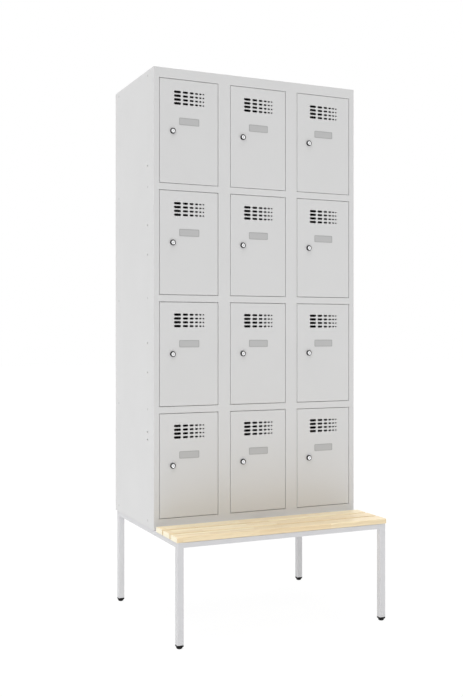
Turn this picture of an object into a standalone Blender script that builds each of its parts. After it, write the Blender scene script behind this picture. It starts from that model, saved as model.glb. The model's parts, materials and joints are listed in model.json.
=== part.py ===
"""Steel locker: twelve compartments on a welded bench base.

Metres, +Z up. The doors face -Y, and the origin lies on the floor under the
middle of the whole object. The cabinet is folded sheet, the base is square
tube with three wooden slats, and each door turns on two pins and carries a
cam lock.
"""

import math

import bmesh
import bpy
from mathutils import Matrix, Vector

# Overall sizes
CABINET_WIDTH = 0.900
CABINET_DEPTH = 0.490
CABINET_HEIGHT = 1.800
BASE_HEIGHT = 0.390
BENCH_REACH = 0.250

# Grid of compartments
COLUMNS = 3
ROWS = 4
STILE_WIDTH = 0.023
MULLION_WIDTH = 0.052
TOP_RAIL_HEIGHT = 0.040
BOTTOM_RAIL_HEIGHT = 0.042
SHELF_RAIL_HEIGHT = 0.026

# Sheet, folds and the play between neighbours
SHEET = 0.0008
DOOR_SHEET = 0.0010
JAMB_DEPTH = 0.020
SHELF_DROP = 0.010
SHELF_FLANGE = 0.012
TOP_FLANGE = 0.020
REAR_FLANGE = 0.020
FOOT_FLANGE = 0.020
BACK_FLANGE = 0.015
FOLD_RELIEF = 0.0015
CLEARANCE = 0.0003

# Doors and their hinge pins
DOOR_GAP = 0.0018
LIP_RECESS = 0.0020
DOOR_LIP = 0.010
HINGE_INSET = 0.0070
HINGE_SETBACK = 0.0045
PIN_RADIUS = 0.0025
PIN_PLAY = 0.0008
PIN_REACH = 0.0035
PIN_SIDES = 8
CHANNEL_WIDTH = 0.024
CHANNEL_DEPTH = 0.012
CHANNEL_INSET = 0.020
CHANNEL_END_GAP = 0.004
LABEL_WIDTH = 0.084
LABEL_HEIGHT = 0.028
LABEL_THICKNESS = 0.0008
LABEL_DROP = 0.164

# Vents: each column is a fixed share of the one to its left
VENT_ROWS = 4
VENT_COLUMNS = 6
VENT_PITCH = 0.015
VENT_DROP = 0.0505
VENT_LENGTH = 0.029
VENT_HEIGHT = 0.0085
VENT_GAP = 0.008
VENT_LENGTH_SHARE = 0.76
VENT_HEIGHT_SHARE = 0.90
VENT_GAP_SHARE = 0.87
CLIPPED_COLUMNS = 1
OCTAGON_CLIP = 1 / (2 + math.sqrt(2))

# Cam lock
LOCK_INSET = 0.0537
COLLAR_RADIUS = 0.011
COLLAR_FACE_RADIUS = 0.0088
COLLAR_HEIGHT = 0.0068
COLLAR_BEVEL = 0.0022
BARREL_RADIUS = 0.008
PLUG_RADIUS = 0.0070
PLUG_HEAD = 0.0030
SHANK_RADIUS = 0.0050
LOCK_PLAY = 0.0009
LOCK_SIDES = 8
KEYHOLE_WIDTH = 0.0016
KEYHOLE_HEIGHT = 0.0070
KEYHOLE_DEPTH = 0.0020
CAM_WIDTH = 0.016
CAM_THICKNESS = 0.002
CAM_PLAY = 0.0032
CAM_OVERLAP = 0.011

# Holes in the side panels, as distances above and below mid-height
SIDE_HOLE_RADIUS = 0.0038
SIDE_HOLE_SETBACK = 0.071
SIDE_HOLE_PAIRS = (0.174, 0.290, 0.524)
SIDE_HOLE_SINGLE = -0.554
SIDE_HOLE_SIDES = 6

# Bench base
TUBE = 0.025
TUBE_WALL = 0.0015
RAIL_HEIGHT = 0.020
FRAME_SIDE_INSET = 0.003
FRAME_FRONT_INSET = 0.002
FRAME_REAR_INSET = 0.012
CROSS_RAIL_SETBACK = 0.004
SLATS = 3
SLAT_WIDTH = 0.066
SLAT_THICKNESS = 0.020
SLAT_GAP = 0.012
SLAT_ROUNDING = 0.003
GLIDE_HEIGHT = 0.015
GLIDE_FLANGE = 0.004
GLIDE_PLUG = 0.018
GLIDE_TOP_RADIUS = 0.0122
GLIDE_FOOT_RADIUS = 0.0105
GLIDE_SIDES = 12

# Worked out from the sizes above
TOTAL_DEPTH = CABINET_DEPTH + BENCH_REACH
FRONT_Y = BENCH_REACH - TOTAL_DEPTH / 2
OPENING_WIDTH = (
    CABINET_WIDTH - 2 * STILE_WIDTH - (COLUMNS - 1) * MULLION_WIDTH
) / COLUMNS
OPENING_HEIGHT = (
    CABINET_HEIGHT
    - TOP_RAIL_HEIGHT
    - BOTTOM_RAIL_HEIGHT
    - (ROWS - 1) * SHELF_RAIL_HEIGHT
) / ROWS
DOOR_WIDTH = OPENING_WIDTH - 2 * DOOR_GAP
DOOR_HEIGHT = OPENING_HEIGHT - 2 * DOOR_GAP
DOOR_DEPTH = JAMB_DEPTH - LIP_RECESS
RETURN_DEPTH = JAMB_DEPTH + 2 * CLEARANCE
INNER_HALF_WIDTH = CABINET_WIDTH / 2 - SHEET - CLEARANCE
BACK_PANEL_Y = CABINET_DEPTH - SHEET - CLEARANCE
INNER_DEPTH = BACK_PANEL_Y - SHEET - CLEARANCE
FLOOR_Z = BOTTOM_RAIL_HEIGHT - SHELF_DROP
UNDER_TOP_Z = CABINET_HEIGHT - SHEET - CLEARANCE
HEAD_Z = CABINET_HEIGHT - TOP_RAIL_HEIGHT
CAM_FRONT = JAMB_DEPTH + CAM_PLAY
FRAME_TOP = BASE_HEIGHT - CLEARANCE

STEEL_GREY = ("light_grey_powder_coat", (0.66, 0.66, 0.66), 0.45, 0.0)
BASE_GREY = ("tube_powder_coat", (0.66, 0.67, 0.68), 0.45, 0.0)
DOOR_GREY = ("door_powder_coat", (0.62, 0.62, 0.61), 0.45, 0.0)
CHROME = ("polished_chrome", (0.80, 0.80, 0.82), 0.12, 1.0)
ZINC = ("zinc_plated_cam", (0.60, 0.60, 0.58), 0.35, 1.0)
PALE_WOOD = ("pale_lacquered_wood", (0.76, 0.57, 0.36), 0.50, 0.0)
BLACK_PLASTIC = ("black_plastic", (0.012, 0.012, 0.012), 0.45, 0.0)


def clear_scene():
    """Remove every object that Blender starts with."""
    for obj in list(bpy.data.objects):
        bpy.data.objects.remove(obj, do_unlink=True)


def new_collection(name):
    made = bpy.data.collections.new(name)
    bpy.context.scene.collection.children.link(made)
    return made


def material(finish):
    """The finish's material, made once and then shared."""
    name, colour, roughness, metallic = finish
    made = bpy.data.materials.get(name)
    if made is None:
        made = bpy.data.materials.new(name)
        made.use_nodes = True
        shader = made.node_tree.nodes["Principled BSDF"]
        shader.inputs["Base Color"].default_value = (*colour, 1.0)
        shader.inputs["Roughness"].default_value = roughness
        shader.inputs["Metallic"].default_value = metallic
        made.diffuse_color = (*colour, 1.0)
    return made


def mesh_from(bm, name):
    """Turn a bmesh into a mesh, shaded smooth up to 30 degrees."""
    mesh = bpy.data.meshes.new(name)
    bm.to_mesh(mesh)
    bm.free()
    mesh.shade_smooth()
    mesh.set_sharp_from_angle(angle=math.radians(30))
    return mesh


def place(name, mesh, finish, parent, location=(0, 0, 0)):
    """Add a finished part to the locker's collection."""
    obj = bpy.data.objects.new(name, mesh)
    if not mesh.materials:
        mesh.materials.append(material(finish))
    bpy.data.collections["metal_locker"].objects.link(obj)
    obj.parent = parent
    obj.location = location
    return obj


def helper(name, mesh, parent=None, location=(0, 0, 0)):
    """Add a shape that only cuts or joins others."""
    obj = bpy.data.objects.new(name, mesh)
    bpy.data.collections["cutters"].objects.link(obj)
    obj.parent = parent
    obj.location = location
    obj.hide_render = True
    obj.display_type = "WIRE"
    return obj


def combine(obj, other, operation):
    """Cut the other shape from the object, or join it on."""
    modifier = obj.modifiers.new(operation.title(), "BOOLEAN")
    modifier.object = other
    modifier.operation = operation
    modifier.solver = "EXACT"


def finished_mesh(obj, name):
    """The mesh with its modifiers applied, for parts that share it."""
    bpy.context.view_layer.update()
    graph = bpy.context.evaluated_depsgraph_get()
    mesh = bpy.data.meshes.new_from_object(obj.evaluated_get(graph))
    mesh.name = name
    mesh.materials.clear()
    for modifier in list(obj.modifiers):
        if modifier.type == "BOOLEAN":
            bpy.data.objects.remove(modifier.object, do_unlink=True)
    bpy.data.objects.remove(obj, do_unlink=True)
    return mesh


def add_box(bm, low, high):
    """Add a box between two corners and return its vertices."""
    low, high = Vector(low), Vector(high)
    size = high - low
    matrix = Matrix.Translation((low + high) / 2) @ Matrix.Diagonal((*size, 1.0))
    return bmesh.ops.create_cube(bm, size=1.0, matrix=matrix)["verts"]


def extrude(bm, faces, step):
    """Extrude the faces by a step, as one region."""
    made = bmesh.ops.extrude_face_region(bm, geom=faces)["geom"]
    moved = [item for item in made if isinstance(item, bmesh.types.BMVert)]
    bmesh.ops.translate(bm, verts=moved, vec=step)


def box_mesh(name, low, high):
    bm = bmesh.new()
    add_box(bm, low, high)
    return mesh_from(bm, name)


def add_prism(bm, centre, axis, radius, length, sides):
    """Add a prism whose first flat faces across the axis, centred on a point.

    The radius is the one to its corners.
    """
    turn = Vector((0, 0, 1)).rotation_difference(Vector(axis)).to_matrix().to_4x4()
    spin = Matrix.Rotation(math.pi / sides, 4, "Z")
    bmesh.ops.create_cone(
        bm,
        cap_ends=True,
        segments=sides,
        radius1=radius,
        radius2=radius,
        depth=length,
        matrix=Matrix.Translation(centre) @ turn @ spin,
    )


def turned(bm, profile, sides):
    """Turn a profile of (radius, distance along +Y) about the Y axis.

    The profile runs from axis to axis, or is a ring when it never meets it.
    """
    points = [bm.verts.new((radius, along, 0)) for radius, along in profile]
    edges = [bm.edges.new(pair) for pair in zip(points, points[1:])]
    if min(radius for radius, _ in profile) > 0:
        edges.append(bm.edges.new((points[-1], points[0])))
    turn = Matrix.Rotation(math.pi / sides, 3, "Y")
    bmesh.ops.rotate(bm, cent=(0, 0, 0), matrix=turn, verts=points)
    bmesh.ops.spin(
        bm,
        geom=points + edges,
        cent=(0, 0, 0),
        axis=(0, 1, 0),
        angle=2 * math.pi,
        steps=sides,
        use_merge=True,
    )
    bmesh.ops.remove_doubles(bm, verts=bm.verts, dist=1e-6)
    bmesh.ops.recalc_face_normals(bm, faces=bm.faces)


class Sheet:
    """A flat blank whose edges are turned into flanges.

    The blank's points give its outer face, and the thickness grows inwards
    from there.
    """

    def __init__(self, points, outward):
        self.bm = bmesh.new()
        self.outward = Vector(outward)
        corners = [self.bm.verts.new(point) for point in points]
        self.blank = self.bm.faces.new(corners)

    def vertex(self, point):
        return min(self.bm.verts, key=lambda v: (v.co - Vector(point)).length)

    def fold(self, start, end, *steps):
        """Fold a flange from the edge between two points, one step after another."""
        edge = self.bm.edges.get((self.vertex(start), self.vertex(end)))
        for step in steps:
            made = bmesh.ops.extrude_edge_only(self.bm, edges=[edge])["geom"]
            moved = [item for item in made if isinstance(item, bmesh.types.BMVert)]
            bmesh.ops.translate(self.bm, verts=moved, vec=step)
            edge = self.bm.edges.get(moved)

    def fold_round(self, points, step):
        """Fold one flange from a run of edges, closed at the corners between them."""
        corners = [self.vertex(point) for point in points]
        edges = [self.bm.edges.get(pair) for pair in zip(corners, corners[1:])]
        made = bmesh.ops.extrude_edge_only(self.bm, edges=edges)["geom"]
        moved = [item for item in made if isinstance(item, bmesh.types.BMVert)]
        bmesh.ops.translate(self.bm, verts=moved, vec=step)

    def mesh(self, name):
        bmesh.ops.recalc_face_normals(self.bm, faces=self.bm.faces)
        if self.blank.normal.dot(self.outward) < 0:
            bmesh.ops.reverse_faces(self.bm, faces=self.bm.faces)
        return mesh_from(self.bm, name)


def thicken(obj, thickness):
    """Give a folded sheet its wall, inwards from its outer face."""
    modifier = obj.modifiers.new("Wall", "SOLIDIFY")
    modifier.thickness = thickness
    modifier.offset = -1.0
    modifier.solidify_mode = "NON_MANIFOLD"
    modifier.nonmanifold_thickness_mode = "CONSTRAINTS"
    modifier.nonmanifold_merge_threshold = 0.00001


def column_left(column):
    """The left edge of a column's door opening."""
    pitch = OPENING_WIDTH + MULLION_WIDTH
    return -CABINET_WIDTH / 2 + STILE_WIDTH + column * pitch


def opening_bottom(row):
    """The lower edge of a row's door opening, with row 0 at the top."""
    level = ROWS - 1 - row
    return BOTTOM_RAIL_HEIGHT + level * (OPENING_HEIGHT + SHELF_RAIL_HEIGHT)


def mullion_middle(index):
    """The middle of the mullion to the right of a column."""
    return column_left(index) + OPENING_WIDTH + MULLION_WIDTH / 2


def hinge_x(column):
    return column_left(column) + OPENING_WIDTH - DOOR_GAP - HINGE_INSET


def compartment_name(column, row):
    """A letter for the column and a number for the row, from the top left."""
    return f"{'abcdefghij'[column]}{row + 1}"


def pin_holes(name, places, parent):
    """A cutter with one hole for each pin, at (x, z) on the hinge line."""
    bm = bmesh.new()
    for x, z in places:
        add_prism(
            bm,
            (x, HINGE_SETBACK, z),
            (0, 0, 1),
            PIN_RADIUS + PIN_PLAY,
            4 * SHEET,
            PIN_SIDES,
        )
    return helper(name, mesh_from(bm, name), parent)


def side_panel(name, side, cabinet):
    """A side with its stile, door jamb, rear flange and foot flange."""
    x = side * CABINET_WIDTH / 2
    front_low, front_high = 0.0, UNDER_TOP_Z
    foot_start, foot_end = FOLD_RELIEF, CABINET_DEPTH - FOLD_RELIEF
    sheet = Sheet(
        [
            (x, 0, front_low),
            (x, foot_start, 0),
            (x, foot_end, 0),
            (x, CABINET_DEPTH, 0),
            (x, CABINET_DEPTH, CABINET_HEIGHT),
            (x, 0, CABINET_HEIGHT),
            (x, 0, front_high),
        ],
        (side, 0, 0),
    )
    sheet.fold(
        (x, 0, front_low),
        (x, 0, front_high),
        (-side * STILE_WIDTH, 0, 0),
        (0, JAMB_DEPTH, 0),
    )
    sheet.fold(
        (x, CABINET_DEPTH, 0),
        (x, CABINET_DEPTH, CABINET_HEIGHT),
        (-side * REAR_FLANGE, 0, 0),
    )
    sheet.fold((x, foot_start, 0), (x, foot_end, 0), (-side * FOOT_FLANGE, 0, 0))
    panel = place(name, sheet.mesh(name), STEEL_GREY, cabinet)
    thicken(panel, SHEET)

    offsets = [sign * offset for offset in SIDE_HOLE_PAIRS for sign in (1, -1)]
    bm = bmesh.new()
    for offset in [*offsets, SIDE_HOLE_SINGLE]:
        centre = (x, SIDE_HOLE_SETBACK, CABINET_HEIGHT / 2 + offset)
        add_prism(
            bm, centre, (1, 0, 0), SIDE_HOLE_RADIUS, 4 * SHEET, SIDE_HOLE_SIDES
        )
    holes = helper(f"{name}_holes", mesh_from(bm, f"{name}_holes"), cabinet)
    combine(panel, holes, "DIFFERENCE")


def top_panel(cabinet):
    """The roof, with the top rail folded down in front and a return for the pins."""
    half = INNER_HALF_WIDTH
    rail_half = CABINET_WIDTH / 2 - STILE_WIDTH - CLEARANCE
    rear = BACK_PANEL_Y
    flange_front = SHEET + FOLD_RELIEF
    flange_rear = rear - BACK_FLANGE - CLEARANCE
    z = CABINET_HEIGHT
    sheet = Sheet(
        [
            (-half, 0, z),
            (-rail_half, 0, z),
            (rail_half, 0, z),
            (half, 0, z),
            (half, flange_front, z),
            (half, flange_rear, z),
            (half, rear, z),
            (-half, rear, z),
            (-half, flange_rear, z),
            (-half, flange_front, z),
        ],
        (0, 0, 1),
    )
    sheet.fold(
        (-rail_half, 0, z),
        (rail_half, 0, z),
        (0, 0, -TOP_RAIL_HEIGHT),
        (0, JAMB_DEPTH, 0),
    )
    for x in (-half, half):
        start, end = (x, flange_front, z), (x, flange_rear, z)
        sheet.fold(start, end, (0, 0, -TOP_FLANGE))
    panel = place("top_panel", sheet.mesh("top_panel"), STEEL_GREY, cabinet)
    thicken(panel, SHEET)
    places = [(hinge_x(column), HEAD_Z) for column in range(COLUMNS)]
    combine(panel, pin_holes("top_panel_pin_holes", places, cabinet), "DIFFERENCE")


def shelf_sheet(left, right, rail_left, rail_right, level, rail_height, flange):
    """A shelf or floor with its rail folded up in front.

    The level is the height of the rail's top. The rail spans the opening,
    and the shelf behind it spans the whole compartment.
    """
    z = level - SHELF_DROP
    front, rear = RETURN_DEPTH, INNER_DEPTH
    start = front + FOLD_RELIEF
    sheet = Sheet(
        [
            (left, start, z),
            (rail_left, start, z),
            (rail_left, front, z),
            (rail_right, front, z),
            (rail_right, start, z),
            (right, start, z),
            (right, rear, z),
            (left, rear, z),
        ],
        (0, 0, 1),
    )
    sheet.fold(
        (rail_left, front, z),
        (rail_right, front, z),
        (0, 0, SHELF_DROP),
        (0, -RETURN_DEPTH, 0),
        (0, 0, -rail_height),
        (0, RETURN_DEPTH, 0),
    )
    rim = [(left, start, z), (left, rear, z), (right, rear, z), (right, start, z)]
    sheet.fold_round(rim, (0, 0, -flange))
    return sheet


def bottom_panel(cabinet):
    """The floor of the lowest row, with the bottom rail in front."""
    half = INNER_HALF_WIDTH
    rail_half = CABINET_WIDTH / 2 - STILE_WIDTH - CLEARANCE
    flange = FLOOR_Z - SHEET - CLEARANCE
    sheet = shelf_sheet(
        -half,
        half,
        -rail_half,
        rail_half,
        BOTTOM_RAIL_HEIGHT,
        BOTTOM_RAIL_HEIGHT,
        flange,
    )
    panel = place("bottom_panel", sheet.mesh("bottom_panel"), STEEL_GREY, cabinet)
    thicken(panel, SHEET)
    places = [(hinge_x(column), BOTTOM_RAIL_HEIGHT) for column in range(COLUMNS)]
    combine(panel, pin_holes("bottom_panel_pin_holes", places, cabinet), "DIFFERENCE")


def back_panel(cabinet):
    """The back, held inside the sides' rear flanges, with a flange under the roof."""
    half = INNER_HALF_WIDTH
    low, high = SHEET + CLEARANCE, UNDER_TOP_Z
    y = BACK_PANEL_Y
    sheet = Sheet(
        [
            (-half, y, low),
            (half, y, low),
            (half, y, high),
            (-half, y, high),
        ],
        (0, 1, 0),
    )
    sheet.fold((-half, y, high), (half, y, high), (0, -BACK_FLANGE, 0))
    panel = place("back_panel", sheet.mesh("back_panel"), STEEL_GREY, cabinet)
    thicken(panel, SHEET)


def partition(name, index, cabinet):
    """A mullion channel with the wall between two columns welded inside it."""
    half = MULLION_WIDTH / 2
    low, high = BOTTOM_RAIL_HEIGHT + CLEARANCE, HEAD_Z - CLEARANCE
    sheet = Sheet(
        [(-half, 0, low), (half, 0, low), (half, 0, high), (-half, 0, high)],
        (0, -1, 0),
    )
    for x in (-half, half):
        sheet.fold((x, 0, low), (x, 0, high), (0, JAMB_DEPTH, 0))
    location = (mullion_middle(index), 0, 0)
    panel = place(name, sheet.mesh(name), STEEL_GREY, cabinet, location)
    thicken(panel, SHEET)

    behind = RETURN_DEPTH + CLEARANCE
    rear = INNER_DEPTH
    wall_low = FLOOR_Z + CLEARANCE
    wall_high = UNDER_TOP_Z - SHEET - CLEARANCE
    flange_front = BACK_PANEL_Y - BACK_FLANGE - CLEARANCE
    outline = [
        (SHEET / 2, low),
        (behind, low),
        (behind, wall_low),
        (rear, wall_low),
        (rear, wall_high),
        (flange_front, wall_high),
        (flange_front, UNDER_TOP_Z),
        (behind, UNDER_TOP_Z),
        (behind, high),
        (SHEET / 2, high),
    ]
    bm = bmesh.new()
    corners = [bm.verts.new((-SHEET / 2, y, z)) for y, z in outline]
    extrude(bm, [bm.faces.new(corners)], (SHEET, 0, 0))
    bmesh.ops.recalc_face_normals(bm, faces=bm.faces)
    wall = helper(f"{name}_wall", mesh_from(bm, f"{name}_wall"), cabinet, location)
    combine(panel, wall, "UNION")


def shelf(column, row, cabinet):
    """The shelf below a compartment that has another one under it."""
    name = f"shelf_{compartment_name(column, row)}"
    wall = SHEET / 2 + CLEARANCE
    left = -INNER_HALF_WIDTH if column == 0 else mullion_middle(column - 1) + wall
    last = column == COLUMNS - 1
    right = INNER_HALF_WIDTH if last else mullion_middle(column) - wall
    rail_left = column_left(column) + CLEARANCE
    rail_right = column_left(column) + OPENING_WIDTH - CLEARANCE
    level = opening_bottom(row)
    sheet = shelf_sheet(
        left,
        right,
        rail_left,
        rail_right,
        level,
        SHELF_RAIL_HEIGHT,
        SHELF_FLANGE,
    )
    panel = place(name, sheet.mesh(name), STEEL_GREY, cabinet)
    thicken(panel, SHEET)
    x = hinge_x(column)
    places = [(x, level), (x, level - SHELF_RAIL_HEIGHT)]
    combine(panel, pin_holes(f"{name}_pin_holes", places, cabinet), "DIFFERENCE")


def vent_cutter():
    """The grid of slots, centred on the door and shorter column by column."""
    lengths = [VENT_LENGTH * VENT_LENGTH_SHARE**k for k in range(VENT_COLUMNS)]
    gaps = [VENT_GAP * VENT_GAP_SHARE**k for k in range(VENT_COLUMNS - 1)]
    x = (HINGE_INSET - DOOR_WIDTH / 2) - (sum(lengths) + sum(gaps)) / 2
    bm = bmesh.new()
    for column, length in enumerate(lengths):
        height = VENT_HEIGHT * VENT_HEIGHT_SHARE**column
        for row in range(VENT_ROWS):
            z = DOOR_GAP + DOOR_HEIGHT - VENT_DROP - row * VENT_PITCH
            low = (x, -HINGE_SETBACK - DOOR_SHEET, z - height / 2)
            high = (x + length, -HINGE_SETBACK + 2 * DOOR_SHEET, z + height / 2)
            corners = add_box(bm, low, high)
            if column < CLIPPED_COLUMNS:
                through = {e for v in corners for e in v.link_edges}
                through = [e for e in through if runs_along(e, (0, 1, 0))]
                bmesh.ops.bevel(
                    bm,
                    geom=through,
                    offset=height * OCTAGON_CLIP,
                    segments=1,
                    profile=0.5,
                    affect="EDGES",
                    material=-1,
                )
        x += length + (gaps[column] if column < len(gaps) else 0)
    return helper("vent_slots", mesh_from(bm, "vent_slots"))


def runs_along(edge, direction):
    """Whether an edge is parallel to a direction."""
    along = (edge.verts[1].co - edge.verts[0].co).normalized()
    return abs(along.dot(Vector(direction))) > 0.999


def lock_centre():
    """The lock's middle on the door's outer face, from the hinge axis."""
    x = HINGE_INSET - DOOR_WIDTH + LOCK_INSET
    return Vector((x, -HINGE_SETBACK, DOOR_GAP + DOOR_HEIGHT / 2))


def door_mesh():
    """The door: a pan with lips, vents, hinge pins, channel and label plate.

    Its origin is on the hinge axis, level with the opening's lower edge.
    """
    left, right = HINGE_INSET - DOOR_WIDTH, HINGE_INSET
    front, back = -HINGE_SETBACK, DOOR_DEPTH - HINGE_SETBACK
    low, high = DOOR_GAP, DOOR_GAP + DOOR_HEIGHT
    bm = bmesh.new()
    add_box(bm, (left, front, low), (right, back, high))
    bm.faces.ensure_lookup_table()
    rear_face = max(bm.faces, key=lambda face: face.calc_center_median().y)
    bmesh.ops.inset_region(bm, faces=[rear_face], thickness=DOOR_LIP)
    bmesh.ops.delete(bm, geom=[rear_face], context="FACES_ONLY")
    door = helper("door_pan", mesh_from(bm, "door_pan"))
    thicken(door, DOOR_SHEET)
    combine(door, vent_cutter(), "DIFFERENCE")

    lock = lock_centre()
    bm = bmesh.new()
    hole_radius = BARREL_RADIUS + LOCK_PLAY
    add_prism(bm, lock, (0, 1, 0), hole_radius, 4 * DOOR_SHEET, LOCK_SIDES)
    combine(door, helper("lock_hole", mesh_from(bm, "lock_hole")), "DIFFERENCE")

    weld = DOOR_SHEET / 2
    outside = DOOR_GAP + SHEET + PIN_REACH
    bm = bmesh.new()
    for end, sign in ((low, -1), (high, 1)):
        middle = end + sign * (outside - weld) / 2
        length = outside + weld
        add_prism(bm, (0, 0, middle), (0, 0, 1), PIN_RADIUS, length, PIN_SIDES)
    combine(door, helper("hinge_pins", mesh_from(bm, "hinge_pins")), "UNION")

    edge = right - CHANNEL_INSET
    channel_low, channel_high = low + CHANNEL_END_GAP, high - CHANNEL_END_GAP
    foot, crown = front + weld, front + DOOR_SHEET + CHANNEL_DEPTH
    points = [
        (edge, crown, channel_low),
        (edge, crown, channel_high),
        (edge - CHANNEL_WIDTH, crown, channel_high),
        (edge - CHANNEL_WIDTH, crown, channel_low),
    ]
    sheet = Sheet(points, (0, 1, 0))
    for start, end in ((points[0], points[1]), (points[2], points[3])):
        sheet.fold(start, end, (0, foot - crown, 0))
    channel = helper("channel", sheet.mesh("channel"))
    thicken(channel, DOOR_SHEET)
    combine(door, channel, "UNION")

    middle = (left + right) / 2
    label_z = high - LABEL_DROP
    label = box_mesh(
        "label_plate",
        (middle - LABEL_WIDTH / 2, front - LABEL_THICKNESS, label_z - LABEL_HEIGHT / 2),
        (middle + LABEL_WIDTH / 2, front + weld, label_z + LABEL_HEIGHT / 2),
    )
    combine(door, helper("label_plate", label), "UNION")
    return finished_mesh(door, "door")


def lock_body_mesh():
    """The chromed collar and its barrel, which passes through the door's sheet.

    Its origin is the lock's middle on the door's outer face.
    """
    bore = SHANK_RADIUS + LOCK_PLAY
    head_bore = PLUG_RADIUS + LOCK_PLAY
    front = -COLLAR_HEIGHT - CLEARANCE
    seat = front + PLUG_HEAD + CLEARANCE
    rear = CAM_FRONT - CLEARANCE
    profile = [
        (head_bore, front),
        (COLLAR_FACE_RADIUS, front),
        (COLLAR_RADIUS, front + COLLAR_BEVEL),
        (COLLAR_RADIUS, -CLEARANCE),
        (BARREL_RADIUS, -CLEARANCE),
        (BARREL_RADIUS, rear),
        (bore, rear),
        (bore, seat),
        (head_bore, seat),
    ]
    bm = bmesh.new()
    turned(bm, profile, LOCK_SIDES)
    return mesh_from(bm, "lock_body")


def lock_cam_mesh():
    """The turning plug with its keyhole, and the cam on its tail, hanging down.

    Its origin is the lock's middle on the door's outer face, on the axis that
    it turns about.
    """
    front = -COLLAR_HEIGHT - CLEARANCE
    cam_rear = CAM_FRONT + CAM_THICKNESS
    profile = [
        (0, front),
        (PLUG_RADIUS, front),
        (PLUG_RADIUS, front + PLUG_HEAD),
        (SHANK_RADIUS, front + PLUG_HEAD),
        (SHANK_RADIUS, CAM_FRONT + CAM_THICKNESS / 2),
        (0, CAM_FRONT + CAM_THICKNESS / 2),
    ]
    bm = bmesh.new()
    turned(bm, profile, LOCK_SIDES)
    plug = helper("plug", mesh_from(bm, "plug"))

    keyhole = box_mesh(
        "keyhole",
        (-KEYHOLE_WIDTH / 2, front - KEYHOLE_DEPTH, -KEYHOLE_HEIGHT / 2),
        (KEYHOLE_WIDTH / 2, front + KEYHOLE_DEPTH, KEYHOLE_HEIGHT / 2),
    )
    combine(plug, helper("keyhole", keyhole), "DIFFERENCE")

    reach = LOCK_INSET + DOOR_GAP + CAM_OVERLAP
    bm = bmesh.new()
    corners = add_box(
        bm,
        (-CAM_WIDTH / 2, CAM_FRONT, -reach),
        (CAM_WIDTH / 2, cam_rear, CAM_WIDTH / 2),
    )
    across = {e for v in corners for e in v.link_edges}
    across = [e for e in across if runs_along(e, (0, 1, 0))]
    bmesh.ops.bevel(
        bm,
        geom=across,
        offset=CAM_WIDTH * OCTAGON_CLIP,
        segments=1,
        profile=0.5,
        affect="EDGES",
        material=-1,
    )
    combine(plug, helper("cam_arm", mesh_from(bm, "cam_arm")), "UNION")
    return finished_mesh(plug, "lock_cam")


def ladder(name, inset, foot):
    """The frame's outline as one solid: four legs under a ladder of rails.

    The inset takes the same amount off every face, which gives the bore.
    """
    left = -CABINET_WIDTH / 2 + FRAME_SIDE_INSET
    front = -TOTAL_DEPTH / 2 + FRAME_FRONT_INSET
    rear = TOTAL_DEPTH / 2 - FRAME_REAR_INSET
    cross = FRONT_Y + CROSS_RAIL_SETBACK
    rails_x = (left, -TUBE / 2, -left - TUBE)
    rails_y = (front, cross, rear - TUBE)
    xs = sorted(x + edge for x in rails_x for edge in (inset, TUBE - inset))
    ys = sorted(y + edge for y in rails_y for edge in (inset, TUBE - inset))
    top, under = FRAME_TOP - inset, FRAME_TOP - RAIL_HEIGHT + inset

    bm = bmesh.new()
    points = [[bm.verts.new((x, y, under)) for y in ys] for x in xs]
    rails, legs = [], []
    for i in range(len(xs) - 1):
        for j in range(len(ys) - 1):
            on_side_rail, on_long_rail = i in (0, 4), j in (0, 2, 4)
            on_stretcher = (i, j) == (2, 1)
            if on_side_rail or on_long_rail or on_stretcher:
                corners = [points[i][j], points[i + 1][j]]
                corners += [points[i + 1][j + 1], points[i][j + 1]]
                rails.append(bm.faces.new(corners))
            if on_side_rail and j in (0, 4):
                legs.append(rails[-1])
    extrude(bm, rails, (0, 0, top - under))
    extrude(bm, legs, (0, 0, foot - under))
    bmesh.ops.delete(bm, geom=legs, context="FACES_ONLY")
    loose = [vertex for vertex in bm.verts if not vertex.link_faces]
    bmesh.ops.delete(bm, geom=loose, context="VERTS")
    bmesh.ops.recalc_face_normals(bm, faces=bm.faces)
    bmesh.ops.dissolve_limit(
        bm, angle_limit=math.radians(1), verts=bm.verts, edges=bm.edges
    )
    return mesh_from(bm, name)


def base_frame():
    """The welded tube frame, hollow from the open lower end of each leg."""
    foot = GLIDE_HEIGHT + CLEARANCE
    frame = place("base_frame", ladder("base_frame", 0, foot), BASE_GREY, None)
    bore = ladder("frame_bore", TUBE_WALL, foot - TUBE_WALL)
    combine(frame, helper("frame_bore", bore), "DIFFERENCE")


def slat_mesh():
    """One bench slat with its long edges rounded, centred on its underside."""
    bm = bmesh.new()
    half_length, half_width = CABINET_WIDTH / 2, SLAT_WIDTH / 2
    add_box(
        bm,
        (-half_length, -half_width, 0),
        (half_length, half_width, SLAT_THICKNESS),
    )
    long_edges = [e for e in bm.edges if runs_along(e, (1, 0, 0))]
    bmesh.ops.bevel(
        bm,
        geom=long_edges,
        offset=SLAT_ROUNDING,
        segments=2,
        profile=0.5,
        affect="EDGES",
        material=-1,
    )
    return mesh_from(bm, "slat")


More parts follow.
